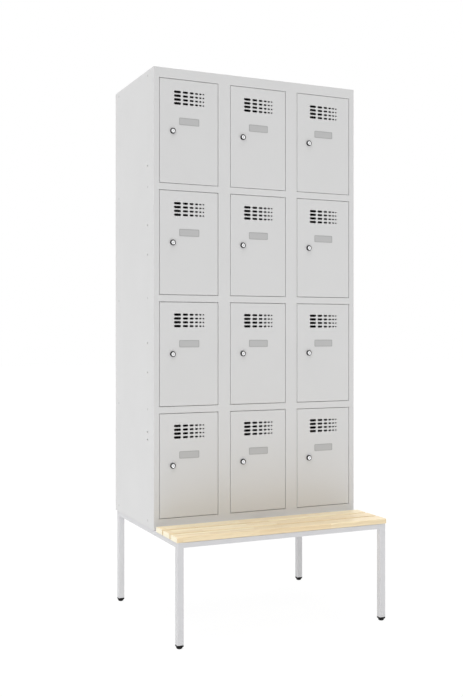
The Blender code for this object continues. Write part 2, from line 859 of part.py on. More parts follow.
def glide_mesh():
    """A plastic glide: a square plug and flange with a round foot below."""
    bm = bmesh.new()
    foot_top = GLIDE_HEIGHT - GLIDE_FLANGE
    profile = [
        (0, 0),
        (GLIDE_FOOT_RADIUS, 0),
        (GLIDE_TOP_RADIUS, foot_top + GLIDE_FLANGE / 2),
        (0, foot_top + GLIDE_FLANGE / 2),
    ]
    turned(bm, profile, GLIDE_SIDES)
    upright = Matrix.Rotation(math.pi / 2, 3, "X")
    bmesh.ops.rotate(bm, cent=(0, 0, 0), matrix=upright, verts=bm.verts)
    foot = helper("glide_foot", mesh_from(bm, "glide_foot"))

    half = TUBE / 2
    flange = box_mesh("glide_flange", (-half, -half, foot_top), (half, half, GLIDE_HEIGHT))
    combine(foot, helper("glide_flange", flange), "UNION")
    plug_half = half - TUBE_WALL - CLEARANCE
    plug = box_mesh(
        "glide_plug",
        (-plug_half, -plug_half, foot_top + GLIDE_FLANGE / 2),
        (plug_half, plug_half, GLIDE_HEIGHT + GLIDE_PLUG),
    )
    combine(foot, helper("glide_plug", plug), "UNION")
    return finished_mesh(foot, "glide")


def build_cabinet(cabinet):
    side_panel("side_panel_left", -1, cabinet)
    side_panel("side_panel_right", 1, cabinet)
    top_panel(cabinet)
    bottom_panel(cabinet)
    back_panel(cabinet)
    for index in range(COLUMNS - 1):
        partition(f"partition_{'abcdefghij'[index]}", index, cabinet)
    for column in range(COLUMNS):
        for row in range(ROWS - 1):
            shelf(column, row, cabinet)


def build_doors(cabinet):
    """Hang a door with its lock in every opening."""
    door, body, cam = door_mesh(), lock_body_mesh(), lock_cam_mesh()
    for column in range(COLUMNS):
        for row in range(ROWS):
            name = compartment_name(column, row)
            axis = (hinge_x(column), HINGE_SETBACK, opening_bottom(row))
            hung = place(f"door_{name}", door, DOOR_GREY, cabinet, axis)
            place(f"lock_body_{name}", body, CHROME, hung, lock_centre())
            place(f"lock_cam_{name}", cam, ZINC, hung, lock_centre())


def build_base():
    base_frame()
    slat, glide = slat_mesh(), glide_mesh()
    for number in range(SLATS):
        middle = SLAT_WIDTH / 2 + number * (SLAT_WIDTH + SLAT_GAP)
        location = (0, -TOTAL_DEPTH / 2 + middle, BASE_HEIGHT)
        place(f"slat_{number + 1}", slat, PALE_WOOD, None, location)
    x = CABINET_WIDTH / 2 - FRAME_SIDE_INSET - TUBE / 2
    front = -TOTAL_DEPTH / 2 + FRAME_FRONT_INSET + TUBE / 2
    rear = TOTAL_DEPTH / 2 - FRAME_REAR_INSET - TUBE / 2
    for depth, y in (("front", front), ("rear", rear)):
        for hand, sign in (("left", -1), ("right", 1)):
            name = f"glide_{depth}_{hand}"
            place(name, glide, BLACK_PLASTIC, None, (sign * x, y, 0))


def main():
    clear_scene()
    new_collection("metal_locker")
    new_collection("cutters")
    cabinet = bpy.data.objects.new("cabinet_front_bottom", None)
    bpy.data.collections["metal_locker"].objects.link(cabinet)
    cabinet.location = (0, FRONT_Y, BASE_HEIGHT)
    build_cabinet(cabinet)
    build_doors(cabinet)
    build_base()


main()
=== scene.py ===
"""Steel locker on a bench base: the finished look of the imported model.

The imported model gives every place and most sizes. This script rounds the
folds of its sheets, hangs detailed doors and locks on it, and dresses each
piece in the finish that the real one has. Lengths are in metres.
"""

import json
import logging
import math
from dataclasses import dataclass
from enum import Enum

import bmesh
import bpy
from mathutils import Matrix, Vector

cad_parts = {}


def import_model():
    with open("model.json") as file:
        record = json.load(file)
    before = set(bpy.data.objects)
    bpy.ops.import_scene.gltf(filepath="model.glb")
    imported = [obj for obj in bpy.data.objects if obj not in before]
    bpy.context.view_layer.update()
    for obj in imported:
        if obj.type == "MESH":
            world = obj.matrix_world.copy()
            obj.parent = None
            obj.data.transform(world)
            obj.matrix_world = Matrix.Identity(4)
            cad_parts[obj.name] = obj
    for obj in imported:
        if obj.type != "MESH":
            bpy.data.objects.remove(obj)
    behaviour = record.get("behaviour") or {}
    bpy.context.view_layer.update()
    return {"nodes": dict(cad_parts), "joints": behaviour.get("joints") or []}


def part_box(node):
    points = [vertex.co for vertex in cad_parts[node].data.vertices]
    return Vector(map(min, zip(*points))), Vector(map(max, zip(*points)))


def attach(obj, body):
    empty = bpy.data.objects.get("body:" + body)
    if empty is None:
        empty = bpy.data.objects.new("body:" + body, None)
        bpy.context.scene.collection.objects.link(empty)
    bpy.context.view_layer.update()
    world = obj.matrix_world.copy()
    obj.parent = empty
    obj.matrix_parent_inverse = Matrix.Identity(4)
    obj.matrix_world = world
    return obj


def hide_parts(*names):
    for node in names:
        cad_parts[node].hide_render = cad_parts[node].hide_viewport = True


MM = 0.001
TOUCHING = 0.01 * MM
SAME_POINT = 0.001 * MM
FACING = 0.999
CREASE = math.radians(32)
LAY_DOWN = Matrix.Rotation(math.pi / 2, 4, "X")
SQUARE_FOLD = math.radians(60)
HEXAGON = 6
WHITE = (1.0, 1.0, 1.0, 1.0)
LOG = logging.getLogger("locker")

BMesh = bmesh.types.BMesh
Edges = list[bmesh.types.BMEdge]
Mesh = bpy.types.Mesh
Socket = bpy.types.NodeSocket
Tree = bpy.types.NodeTree
Triple = tuple[float, float, float]
Place = Vector | Triple
Geometry = list[bmesh.types.BMVert | bmesh.types.BMEdge | bmesh.types.BMFace]


class Axis(Enum):
    """An axis, by the way it points."""

    X = (1.0, 0.0, 0.0)
    Y = (0.0, 1.0, 0.0)
    Z = (0.0, 0.0, 1.0)


def linear(hex_colour: str) -> tuple[float, float, float, float]:
    """Turn an sRGB hex colour into linear RGBA.

    Args:
        hex_colour: Six digits after a hash.

    Returns:
        Red, green and blue, and an alpha of 1.
    """
    parts = [int(hex_colour[i : i + 2], 16) / 255 for i in (1, 3, 5)]
    curve = [c / 12.92 if c <= 0.04045 else ((c + 0.055) / 1.055) ** 2.4 for c in parts]
    return (*curve, 1.0)


def add_node(
    tree: Tree,
    kind: str,
    values: dict[str | int, object] | None = None,
    links: dict[str | int, Socket] | None = None,
) -> bpy.types.Node:
    """Add a shader node with its settings and links.

    Args:
        tree: The node tree that gets the node.
        kind: The node's Blender type, without the words ShaderNode before it.
        values: Settings by attribute name, and inputs by name or number.
        links: The socket that feeds each input, by name or number.

    Returns:
        The new node.
    """
    node = tree.nodes.new(f"ShaderNode{kind}")
    for key, value in (values or {}).items():
        if isinstance(key, int) or key in node.inputs:
            node.inputs[key].default_value = value
        else:
            setattr(node, key, value)
    for key, source in (links or {}).items():
        tree.links.new(source, node.inputs[key])
    return node


@dataclass(frozen=True)
class Look:
    """A material in the making: its nodes, its shader and the place on the object."""

    tree: Tree
    shader: bpy.types.Node
    place: Socket

    def lay(self, share: Socket, below: Socket | str, above: str) -> Socket:
        """Lay one colour over another and make the result the base colour.

        Args:
            share: How much of the upper colour shows, from 0 to 1.
            below: The lower colour, in hex or as a socket.
            above: The upper colour, in hex.

        Returns:
            The blended colour.
        """
        values = {"data_type": "RGBA", 7: linear(above)}
        links = {0: share}
        if isinstance(below, str):
            values[6] = linear(below)
        else:
            links[6] = below
        mix = add_node(self.tree, "Mix", values, links)
        self.tree.links.new(mix.outputs[2], self.shader.inputs["Base Color"])
        return mix.outputs[2]

    def vary_roughness(self, share: Socket, middle: float, spread: float) -> None:
        """Let the roughness wander about its middle.

        Args:
            share: The pattern that it follows, from 0 to 1.
            middle: The roughness that the finish has.
            spread: How far it wanders to either side.
        """
        ends = {"To Min": middle - spread, "To Max": middle + spread}
        span = add_node(self.tree, "MapRange", ends, {"Value": share})
        self.tree.links.new(span.outputs["Result"], self.shader.inputs["Roughness"])

    def emboss(self, height: Socket, strength: float, depth: float) -> None:
        """Raise a pattern as a bump.

        Args:
            height: The pattern.
            strength: How much of the bump shows, from 0 to 1.
            depth: The depth of the bump.
        """
        size = {"Strength": strength, "Distance": depth}
        bump = add_node(self.tree, "Bump", size, {"Height": height})
        self.tree.links.new(bump.outputs["Normal"], self.shader.inputs["Normal"])


@dataclass(frozen=True)
class Surface:
    """A finish: its name, its colour and how sharply it reflects."""

    title: str
    colour: str
    roughness: float

    def material(self) -> bpy.types.Material:
        """Make the finish's material once, and share it from then on.

        Returns:
            The material.
        """
        made = bpy.data.materials.get(self.title)
        if made is None:
            made = bpy.data.materials.new(self.title)
            made.use_nodes = True
            made.diffuse_color = linear(self.colour)
            tree = made.node_tree
            shader = tree.nodes["Principled BSDF"]
            shader.inputs["Base Color"].default_value = linear(self.colour)
            shader.inputs["Roughness"].default_value = self.roughness
            place = add_node(tree, "TexCoord").outputs["Object"]
            self.dress(Look(tree, shader, place))
        return made

    def dress(self, look: Look) -> None:
        """Add the finish's own pattern; a bare surface has none."""


@dataclass(frozen=True)
class PowderCoat(Surface):
    """Polyester powder, sprayed dry on steel and baked.

    It gives an even satin coat with a faint orange peel, and a film that is
    a shade thicker in some places than in others. The peel of the real coat
    is 1 to 2 mm wide; it is drawn wider so that it shows.
    """

    peel: float = 5 * MM
    peel_strength: float = 0.10
    peel_depth: float = 0.05 * MM
    drift: float = 180 * MM
    gloss_drift: float = 0.05
    shade: str = "#D2D2D2"

    def dress(self, look: Look) -> None:
        """Add the drift of tone and gloss, and the orange peel.

        Args:
            look: The material in the making.
        """
        drift, peel = [
            add_node(
                look.tree,
                "TexNoise",
                {"Scale": 1 / width, "Detail": detail},
                {"Vector": look.place},
            ).outputs["Fac"]
            for width, detail in ((self.drift, 2.0), (self.peel, 1.0))
        ]
        tone = look.lay(drift, self.colour, self.shade)
        look.vary_roughness(drift, self.roughness, self.gloss_drift)
        height = self.dimples_and_shade(look, tone, peel)
        look.emboss(height, self.peel_strength, self.peel_depth)

    def dimples_and_shade(self, look: Look, tone: Socket, height: Socket) -> Socket:
        """Return the height pattern with any dimples under the paint, and the painted shade in
        them; here, none.
        """
        return height


@dataclass(frozen=True)
class SpotWeldedCoat(PowderCoat):
    """Powder coat over the shallow dimples of spot welds.

    The welds stand in rows, one at each shelf, and hold the shelf's flange.
    A dimple shows as a small grey spot with a soft rim; the grey is painted
    shade of the hollow. Its depth is given in heights of the orange peel.
    """

    axes: tuple[Axis, Axis] = (Axis.Y, Axis.Z)
    first: tuple[float, float] = (-49 * MM, 855 * MM)
    pitch: tuple[float, float] = (372 * MM, 438 * MM)
    dimple: float = 6.0 * MM
    floor_share: float = 0.6
    depth: float = 8.0
    # Painted shade: the grey laid into each dimple's hollow
    dimple_shade: str = "#B9B9B9"

    def dimples_and_shade(self, look: Look, tone: Socket, height: Socket) -> Socket:
        """Sink a round dimple at each weld, and grey it with painted shade.

        Args:
            look: The material in the making.
            tone: Its colour so far.
            height: Its height pattern so far.

        Returns:
            The height pattern with the dimples in it.
        """
        tree = look.tree
        apart = add_node(tree, "SeparateXYZ", links={"Vector": look.place})
        offsets = {}
        for label, axis, first, pitch in zip("XY", self.axes, self.first, self.pitch):
            shifted = add_node(
                tree,
                "Math",
                {"operation": "SUBTRACT", 1: first},
                {0: apart.outputs[axis.name]},
            )
            folded = add_node(
                tree,
                "Math",
                {"operation": "PINGPONG", 1: pitch / 2},
                {0: shifted.outputs[0]},
            )
            offsets[label] = folded.outputs[0]
        offset = add_node(tree, "CombineXYZ", links=offsets).outputs[0]
        distance = add_node(tree, "VectorMath", {"operation": "LENGTH"}, {0: offset})
        ramp = {
            "interpolation_type": "SMOOTHSTEP",
            "From Min": self.floor_share * self.dimple,
            "From Max": self.dimple,
            "To Min": 1.0,
            "To Max": 0.0,
        }
        sunk = add_node(
            tree, "MapRange", ramp, {"Value": distance.outputs["Value"]}
        ).outputs["Result"]
        # Painted shade: grey the colour inside each dimple
        look.lay(sunk, tone, self.dimple_shade)
        total = add_node(
            tree,
            "Math",
            {"operation": "MULTIPLY_ADD", 1: -self.depth},
            {0: sunk, 2: height},
        )
        return total.outputs[0]


@dataclass(frozen=True)
class PlatedMetal(Surface):
    """Electroplated metal, polished or left as it comes from the bath.

    Polished chrome mirrors the room with hardly a mark. Zinc is duller, with
    a faint cloudiness from the passivation.
    """

    cloud: float = 6 * MM
    shade: str = "#D8DADC"
    gloss_drift: float = 0.03

    def dress(self, look: Look) -> None:
        """Make it metal, with clouds of tone and gloss.

        Args:
            look: The material in the making.
        """
        look.shader.inputs["Metallic"].default_value = 1.0
        cloud = add_node(
            look.tree,
            "TexNoise",
            {"Scale": 1 / self.cloud, "Detail": 3.0},
            {"Vector": look.place},
        ).outputs["Fac"]
        look.lay(cloud, self.colour, self.shade)
        look.vary_roughness(cloud, self.roughness, self.gloss_drift)


@dataclass(frozen=True)
class MouldedPlastic(Surface):
    """Injection-moulded plastic from a lightly textured mould.

    The grain is drawn 1 mm wide, a little coarser than the real one.
    """

    grain: float = 1.0 * MM
    grain_strength: float = 0.2
    grain_depth: float = 0.05 * MM
    gloss_drift: float = 0.06
    shade: str = "#0D0D0E"
    specular: float = 0.5

    def dress(self, look: Look) -> None:
        """Add the mould's grain and a slight unevenness of gloss.

        Args:
            look: The material in the making.
        """
        look.shader.inputs["Specular IOR Level"].default_value = self.specular
        grain = add_node(
            look.tree,
            "TexNoise",
            {"Scale": 1 / self.grain, "Detail": 2.0},
            {"Vector": look.place},
        ).outputs["Fac"]
        look.lay(grain, self.colour, self.shade)
        look.vary_roughness(grain, self.roughness, self.gloss_drift)
        look.emboss(grain, self.grain_strength, self.grain_depth)


@dataclass(frozen=True)
class LacqueredWood(Surface):
    """Pale solid wood, glued up from staves and clear-lacquered.

    Each stave is cut from another board, so tone and growth rings change at
    its joints. A flat-sawn stave cuts its rings at a slant, so they show as
    bands some 20 mm wide. The fibres are drawn 3 mm wide, twice as coarse as
    they are. The sawn ends are drawn palest, a painted highlight of the light
    that falls on them. The two shows give the levels at which a pattern starts
    and ends to show, and how dark it gets.
    """

    stave_length: float = 310 * MM
    stave_width: float = 33 * MM
    stave_shift: float = 0.37
    board_shift: float = 0.4
    along_grain: float = 0.06
    ring: float = 22 * MM
    ring_wander: float = 1.6
    ring_show: Triple = (0.35, 1.0, 0.32)
    fibre: float = 3 * MM
    fibre_show: Triple = (0.50, 0.75, 0.40)
    fibre_strength: float = 0.25
    fibre_depth: float = 0.06 * MM
    lacquer: float = 0.25
    lacquer_roughness: float = 0.25
    gloss_drift: float = 0.05
    end: float = 449.4 * MM
    dark: str = "#CBAE80"
    tan: str = "#ECD6AF"
    # Painted highlight: the pale tone laid on the sawn ends
    end_highlight: str = "#F7EED2"

    def dress(self, look: Look) -> None:
        """Add the staves, the growth rings, the fibres, the lacquer and the painted highlight on
        the sawn ends.

        Args:
            look: The material in the making.
        """
        tree = look.tree
        look.shader.inputs["Coat Weight"].default_value = self.lacquer
        look.shader.inputs["Coat Roughness"].default_value = self.lacquer_roughness
        board = self.boards(look)
        cut = self.sawn_place(look, board)
        # At a scale of 1 the rings of this texture lie pi / 10 apart
        waves = {
            "wave_type": "RINGS",
            "rings_direction": "X",
            "wave_profile": "SAW",
            "Scale": math.pi / 10 / self.ring,
            "Distortion": self.ring_wander,
            "Detail": 2.0,
            "Detail Scale": 6.0,
        }
        rings = add_node(tree, "TexWave", waves, {"Vector": cut})
        fibres = add_node(
            tree,
            "TexNoise",
            {"Scale": 1 / self.fibre, "Detail": 3.0},
            {"Vector": cut},
        )
        tone = look.lay(board, self.colour, self.tan)
        for pattern, show in ((rings, self.ring_show), (fibres, self.fibre_show)):
            start, end, most = show
            share = add_node(
                tree,
                "MapRange",
                {"From Min": start, "From Max": end, "To Min": 0.0, "To Max": most},
                {"Value": pattern.outputs["Fac"]},
            )
            tone = look.lay(share.outputs["Result"], tone, self.dark)
        # Painted highlight: the sawn ends drawn palest, as if lit
        look.lay(self.near_end(look), tone, self.end_highlight)
        look.vary_roughness(fibres.outputs["Fac"], self.roughness, self.gloss_drift)
        look.emboss(fibres.outputs["Fac"], self.fibre_strength, self.fibre_depth)

    def boards(self, look: Look) -> Socket:
        """Give each stave's board a shade of grey.

        Args:
            look: The material in the making.

        Returns:
            The shade.
        """
        bond = {
            "Scale": 1.0,
            "Mortar Size": 0.0,
            "Brick Width": self.stave_length,
            "Row Height": self.stave_width,
            "offset": self.stave_shift,
            "Color1": (0.0, 0.0, 0.0, 1.0),
            "Color2": WHITE,
        }
        staves = add_node(look.tree, "TexBrick", bond, {"Vector": look.place})
        return staves.outputs["Color"]

    def sawn_place(self, look: Look, board: Socket) -> Socket:
        """Find the place in the log, long along the grain and another for each board.

        Args:
            look: The material in the making.
            board: The shade of each stave's board.

        Returns:
            The place.
        """
        stretched = add_node(
            look.tree,
            "Mapping",
            {"Scale": (self.along_grain, 1.0, 1.0)},
            {"Vector": look.place},
        )
        shift = add_node(
            look.tree,
            "VectorMath",
            {"operation": "SCALE", "Scale": self.board_shift},
            {0: board},
        )
        cut = add_node(
            look.tree,
            "VectorMath",
            {"operation": "ADD"},
            {0: stretched.outputs[0], 1: shift.outputs[0]},
        )
        return cut.outputs[0]

    def near_end(self, look: Look) -> Socket:
        """Tell a slat's sawn ends, which get the painted highlight, from the rest.

        Args:
            look: The material in the making.

        Returns:
            1 on the sawn ends and 0 elsewhere.
        """
        apart = add_node(look.tree, "SeparateXYZ", links={"Vector": look.place})
        reach = add_node(
            look.tree, "Math", {"operation": "ABSOLUTE"}, {0: apart.outputs["X"]}
        )
        beyond = add_node(
            look.tree,
            "Math",
            {"operation": "GREATER_THAN", 1: self.end},
            {0: reach.outputs[0]},
        )
        return beyond.outputs[0]


class Finish(Enum):
    """The finishes that the locker has."""

    # Sprayed and baked powder: an even, satin light grey
    CABINET = PowderCoat("powder_coat_cabinet", "#D6D6D6", 0.42)
    # The cabinet's powder, drawn a shade deeper as painted shade that evens out the extra light
    # the sides catch, and with rows of faint round weld dimples greyed with painted shade
    SIDE = SpotWeldedCoat("powder_coat_sides", "#D5D5D5", 0.42, shade="#D1D1D1")
    # The cabinet's powder and tone, with weld dimples in rows across the back, greyed with
    # painted shade
    BACK = SpotWeldedCoat(
        "powder_coat_back",
        "#D6D6D6",
        0.42,
        axes=(Axis.X, Axis.Z),
        first=(-425 * MM, 855 * MM),
        pitch=(94.5 * MM, 438 * MM),
    )
    # Powder on smoother sheet: a touch glossier than the cabinet
    DOOR = PowderCoat("powder_coat_doors", "#D5D5D5", 0.40)
    # Powder on drawn tube: cooler and a little darker
    TUBE = PowderCoat("powder_coat_tube", "#D3D3D5", 0.40, shade="#CFCFD1")
    # Polished plating: a bright disc that mirrors the room
    CHROME = PlatedMetal("chrome_polished", "#F6F7F8", 0.07, shade="#F0F1F2")
    # Near black on chrome parts: painted shade and dark reflection on the collar round the
    # bright disc, and painted shade in the keyhole
    RING = PlatedMetal("painted_shade_and_reflection_black", "#0C0C0D", 0.30, shade="#161617")
    # Passivated plating: a dull, clouded grey
    ZINC = PlatedMetal("zinc_passivated", "#B4B5B0", 0.34, shade="#C6C7C2")
    # Moulded polyamide: black, with almost no gloss
    PLASTIC = MouldedPlastic("black_moulded_plastic", "#070707", 0.60, specular=0.2)
    # Moulded styrene: a flat mid grey field inside a darker rim
    LABEL = MouldedPlastic("grey_label_plastic", "#BABABA", 0.45, shade="#B6B6B6")
    LABEL_RIM = MouldedPlastic("grey_label_rim", "#A6A6A6", 0.45, shade="#A2A2A2")
    # Lacquered softwood: pale yellow, with broad soft bands and fine streaks
    WOOD = LacqueredWood("wood_lacquered", "#F5E7C4", 0.42)


def start_box(low: Place, high: Place) -> BMesh:
    """Start a mesh with a box.

    Args:
        low: The lowest corner of the box.
        high: Its highest corner.

    Returns:
        The mesh.
    """
    bm = bmesh.new()
    add_box(bm, low, high)
    return bm


def add_box(bm: BMesh, low: Place, high: Place) -> Edges:
    """Add a box.

    Args:
        bm: The mesh that gets the box.
        low: Its lowest corner.
        high: Its highest corner.

    Returns:
        Its edges.
    """
    low, high = Vector(low), Vector(high)
    place = Matrix.Translation((low + high) / 2) @ Matrix.Diagonal((*(high - low), 1.0))
    corners = bmesh.ops.create_cube(bm, size=1.0, matrix=place)["verts"]
    return list({edge for corner in corners for edge in corner.link_edges})


def along(edges: Edges, axis: Axis) -> Edges:
    """Pick the edges that run along an axis.

    Args:
        edges: The edges to pick from.
        axis: The axis.

    Returns:
        The edges along it.
    """
    way = Vector(axis.value)
    runs = {edge: (edge.verts[1].co - edge.verts[0].co).normalized() for edge in edges}
    return [edge for edge, run in runs.items() if abs(run.dot(way)) > FACING]


def bevel(bm: BMesh, edges: Edges, radius: float, steps: int) -> None:
    """Round some edges.

    Args:
        bm: Their mesh.
        edges: The edges.
        radius: The radius of the rounding.
        steps: The number of faces across it.
    """
    bmesh.ops.bevel(
        bm,
        geom=edges,
        offset=radius,
        segments=steps,
        profile=0.5,
        affect="EDGES",
        material=-1,
    )


def push(bm: BMesh, made: Geometry, way: Place) -> list[bmesh.types.BMVert]:
    """Move the new corners of an extrusion.

    Args:
        bm: The mesh.
        made: What the extrusion made.
        way: How far the corners move.

    Returns:
        The corners.
    """
    corners = [item for item in made if isinstance(item, bmesh.types.BMVert)]
    bmesh.ops.translate(bm, verts=corners, vec=way)
    return corners


def foremost(bm: BMesh) -> bmesh.types.BMFace:
    """Return the face that lies furthest to the front."""
    return min(bm.faces, key=lambda face: face.calc_center_median().y)


def turn_profile(bm: BMesh, profile: list[tuple[float, float]], steps: int) -> None:
    """Turn a profile of (radius, distance along +Y) about the Y axis.

    Args:
        bm: The mesh that gets the turned shape.
        profile: Its points, from axis to axis or as a closed ring.
        steps: The number of faces round it.
    """
    points = [bm.verts.new((radius, run, 0)) for radius, run in profile]
    edges = [bm.edges.new(pair) for pair in zip(points, points[1:])]
    if min(radius for radius, _ in profile) > 0:
        edges.append(bm.edges.new((points[-1], points[0])))
    bmesh.ops.spin(
        bm,
        geom=points + edges,
        cent=(0, 0, 0),
        axis=(0, 1, 0),
        angle=2 * math.pi,
        steps=steps,
        use_merge=True,
    )
    bmesh.ops.remove_doubles(bm, verts=bm.verts, dist=SAME_POINT)
    bmesh.ops.recalc_face_normals(bm, faces=bm.faces)


def add_slot_loop(
    bm: BMesh,
    centre: Vector,
    length: float,
    height: float,
    steps: int,
    upright: bool = False,
) -> Edges:
    """Add the outline of a slot with round ends, facing along Y.

    Args:
        bm: The mesh that gets the outline.
        centre: The slot's middle.
        length: Its overall length.
        height: Its width, which is also the diameter of its ends.
        steps: The number of edges in its two round ends.
        upright: Whether it runs along Z instead of X.

    Returns:
        The outline's edges.
    """
    spin = Matrix.Rotation(math.pi / steps, 4, "Z")
    ring = bmesh.ops.create_circle(
        bm, cap_ends=False, segments=steps, radius=height / 2, matrix=LAY_DOWN @ spin
    )["verts"]
    for corner in ring:
        corner.co.x += math.copysign((length - height) / 2, corner.co.x)
    if upright:
        quarter = Matrix.Rotation(math.pi / 2, 3, "Y")
        bmesh.ops.rotate(bm, cent=(0, 0, 0), matrix=quarter, verts=ring)
    bmesh.ops.translate(bm, verts=ring, vec=centre)
    return list({edge for corner in ring for edge in corner.link_edges})


def finish_mesh(bm: BMesh, name: str) -> Mesh:
    """Turn a bmesh into a mesh that is smooth where it bends less than a crease.

    Args:
        bm: The finished bmesh, which is freed.
        name: The mesh's name.

    Returns:
        The mesh.
    """
    mesh = bpy.data.meshes.new(name)
    bm.to_mesh(mesh)
    bm.free()
    mesh.shade_smooth()
    mesh.set_sharp_from_angle(angle=CREASE)
    return mesh


def put(
    name: str,
    mesh: Mesh,
    finish: Finish,
    body: str,
    replaces: tuple[str, ...] = (),
    wall: float = 0.0,
) -> bpy.types.Object:
    """Add a finished piece to the scene and tie it to its body.

    Its flat faces are shaded flat, so only its rounded edges catch the light.

    Args:
        name: The piece's name.
        mesh: Its mesh, already in place.
        finish: Its finish.
        body: The body that it rides on.
        replaces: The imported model's nodes that it stands for.
        wall: The sheet's thickness, for a mesh that is only its outer skin.

    Returns:
        The piece.
    """
    piece = bpy.data.objects.new(name, mesh)
    bpy.context.scene.collection.objects.link(piece)
    mesh.materials.clear()
    mesh.materials.append(finish.value.material())
    if wall:
        thickness = piece.modifiers.new("Wall", "SOLIDIFY")
        thickness.thickness = wall
        thickness.offset = -1.0
        thickness.use_even_offset = True
    flats = piece.modifiers.new("Flats", "WEIGHTED_NORMAL")
    flats.keep_sharp = True
    # At 100 the largest face at a corner decides alone
    flats.weight = 100
    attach(piece, body)
    if replaces:
        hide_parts(*replaces)
    LOG.info("%s: %d faces on %s", name, len(mesh.polygons), body)
    return piece


@dataclass(frozen=True)
class Fitting:
    """A piece that every compartment has one of."""

    title: str
    mesh: Mesh
    finish: Finish
    slot: str = ""
    wall: float = 0.0


def fit(fittings: tuple[Fitting, ...], key: str, place: Vector, body: str, node: str) -> None:
    """Fit copies of some pieces to a compartment.

    Args:
        fittings: The pieces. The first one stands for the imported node.
        key: The compartment.
        place: Where their meshes start.
        body: The body that they ride on.
        node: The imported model's node.
    """
    for number, part in enumerate(fittings):
        name = f"{part.title}_{key}"
        mesh = part.mesh.copy()
        mesh.name = name
        mesh.transform(Matrix.Translation(place))
        stands_for = (node,) if number == 0 else ()
        put(name, mesh, part.finish, body, stands_for, part.wall)


@dataclass
class CabinetShell:
    """The cabinet's folded sheets, with rounded folds and round holes."""

    sheet: float = 0.8 * MM
    fold_radius: float = 1.1 * MM
    fold_steps: int = 3
    broad: float = 3.0 * MM
    shortest_fold: float = 5 * MM
    flat_angle: float = math.radians(0.5)
    side_x: float = 449 * MM
    hole_y: float = -49 * MM
    hole_radius: float = 3.8 * MM
    hole_steps: int = 24

    def breadth(self, face: bmesh.types.BMFace) -> float:
        """Return roughly how wide a face is, which tells a wall from a cut edge."""
        return 2 * face.calc_area() / face.calc_perimeter()

    def folds(self, bm: BMesh, sign: int) -> Edges:
        """Find the folds between broad faces.

        Args:
            bm: The mesh of a sheet.
            sign: 1 for the outer folds, -1 for the inner ones.

        Returns:
            The edges of the folds.
        """
        found = []
        for edge in bm.edges:
            if len(edge.link_faces) != 2 or edge.calc_length() < self.shortest_fold:
                continue
            square = sign * edge.calc_face_angle_signed() > SQUARE_FOLD
            if square and min(map(self.breadth, edge.link_faces)) > self.broad:
                found.append(edge)
        return found

    def rounded(self, node: bpy.types.Object, name: str) -> Mesh:
        """Copy a packed sheet and round its folds on both sides.

        Args:
            node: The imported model's node.
            name: The new mesh's name.

        Returns:
            The rounded mesh.
        """
        bm = bmesh.new()
        bm.from_mesh(node.data)
        bmesh.ops.remove_doubles(bm, verts=bm.verts, dist=SAME_POINT)
        holes = self.close_holes(bm)
        limit = self.flat_angle
        bmesh.ops.dissolve_limit(bm, angle_limit=limit, verts=bm.verts, edges=bm.edges)
        for sign, radius in ((1, self.fold_radius), (-1, self.fold_radius - self.sheet)):
            bevel(bm, self.folds(bm, sign), radius, self.fold_steps)
        if holes:
            self.cut_holes(bm, holes)
        return finish_mesh(bm, name)

    def close_holes(self, bm: BMesh) -> list[float]:
        """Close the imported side's six-sided holes.

        Args:
            bm: The mesh of a side, or of a sheet without holes.

        Returns:
            The height of each hole's middle.
        """
        corners = [
            corner
            for corner in bm.verts
            if abs(corner.co.x) > self.side_x
            and abs(corner.co.y - self.hole_y) < 2 * self.hole_radius
        ]
        if not corners:
            return []
        heights = []
        for z in sorted(corner.co.z for corner in corners):
            if not heights or z - heights[-1][0] > 3 * self.hole_radius:
                heights.append([z])
            heights[-1].append(z)
        broad = [
            face
            for face in bm.faces
            if abs(face.normal.x) > FACING
            and abs(face.calc_center_median().x) > self.side_x
        ]
        bmesh.ops.delete(bm, geom=broad, context="FACES_ONLY")
        bmesh.ops.delete(bm, geom=corners, context="VERTS")
        loose = [edge for edge in bm.edges if edge.is_wire]
        bmesh.ops.delete(bm, geom=loose, context="EDGES")
        outline = [edge for edge in bm.edges if edge.is_boundary]
        bmesh.ops.holes_fill(bm, edges=outline, sides=0)
        return [(low[0] + low[-1]) / 2 for low in heights]

    def cut_holes(self, bm: BMesh, heights: list[float]) -> None:
        """Cut round holes through a side.

        Args:
            bm: The side's mesh.
            heights: The height of each hole's middle.
        """
        skins = sorted(bm.faces, key=lambda face: face.calc_area())[-2:]
        rings = []
        for skin in skins:
            x = skin.calc_center_median().x
            rim = list(skin.edges)
            bmesh.ops.delete(bm, geom=[skin], context="FACES_ONLY")
            loops = []
            for z in heights:
                ring = bmesh.ops.create_circle(
                    bm,
                    cap_ends=False,
                    segments=self.hole_steps,
                    radius=self.hole_radius,
                    matrix=Matrix.Translation((x, self.hole_y, z))
                    @ Matrix.Rotation(math.pi / 2, 4, "Y"),
                )["verts"]
                loops.append(list({edge for corner in ring for edge in corner.link_edges}))
            bmesh.ops.triangle_fill(bm, use_beauty=True, edges=rim + sum(loops, []))
            rings.append(loops)
        for outer, inner in zip(*rings):
            bmesh.ops.bridge_loops(bm, edges=outer + inner)
        bmesh.ops.recalc_face_normals(bm, faces=bm.faces)

    def build(self, nodes: dict[str, bpy.types.Object], names: list[str]) -> None:
        """Replace each sheet of the cabinet by its rounded copy.

        Args:
            nodes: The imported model's nodes by name.
            names: The names of the sheets.
        """
        welded = {"side": Finish.SIDE, "back": Finish.BACK}
        for name in names:
            finish = welded.get(name.split("_")[0], Finish.CABINET)
            piece = f"{name}_folded"
            mesh = self.rounded(nodes[name], piece)
            put(piece, mesh, finish, "carcass", (name,))


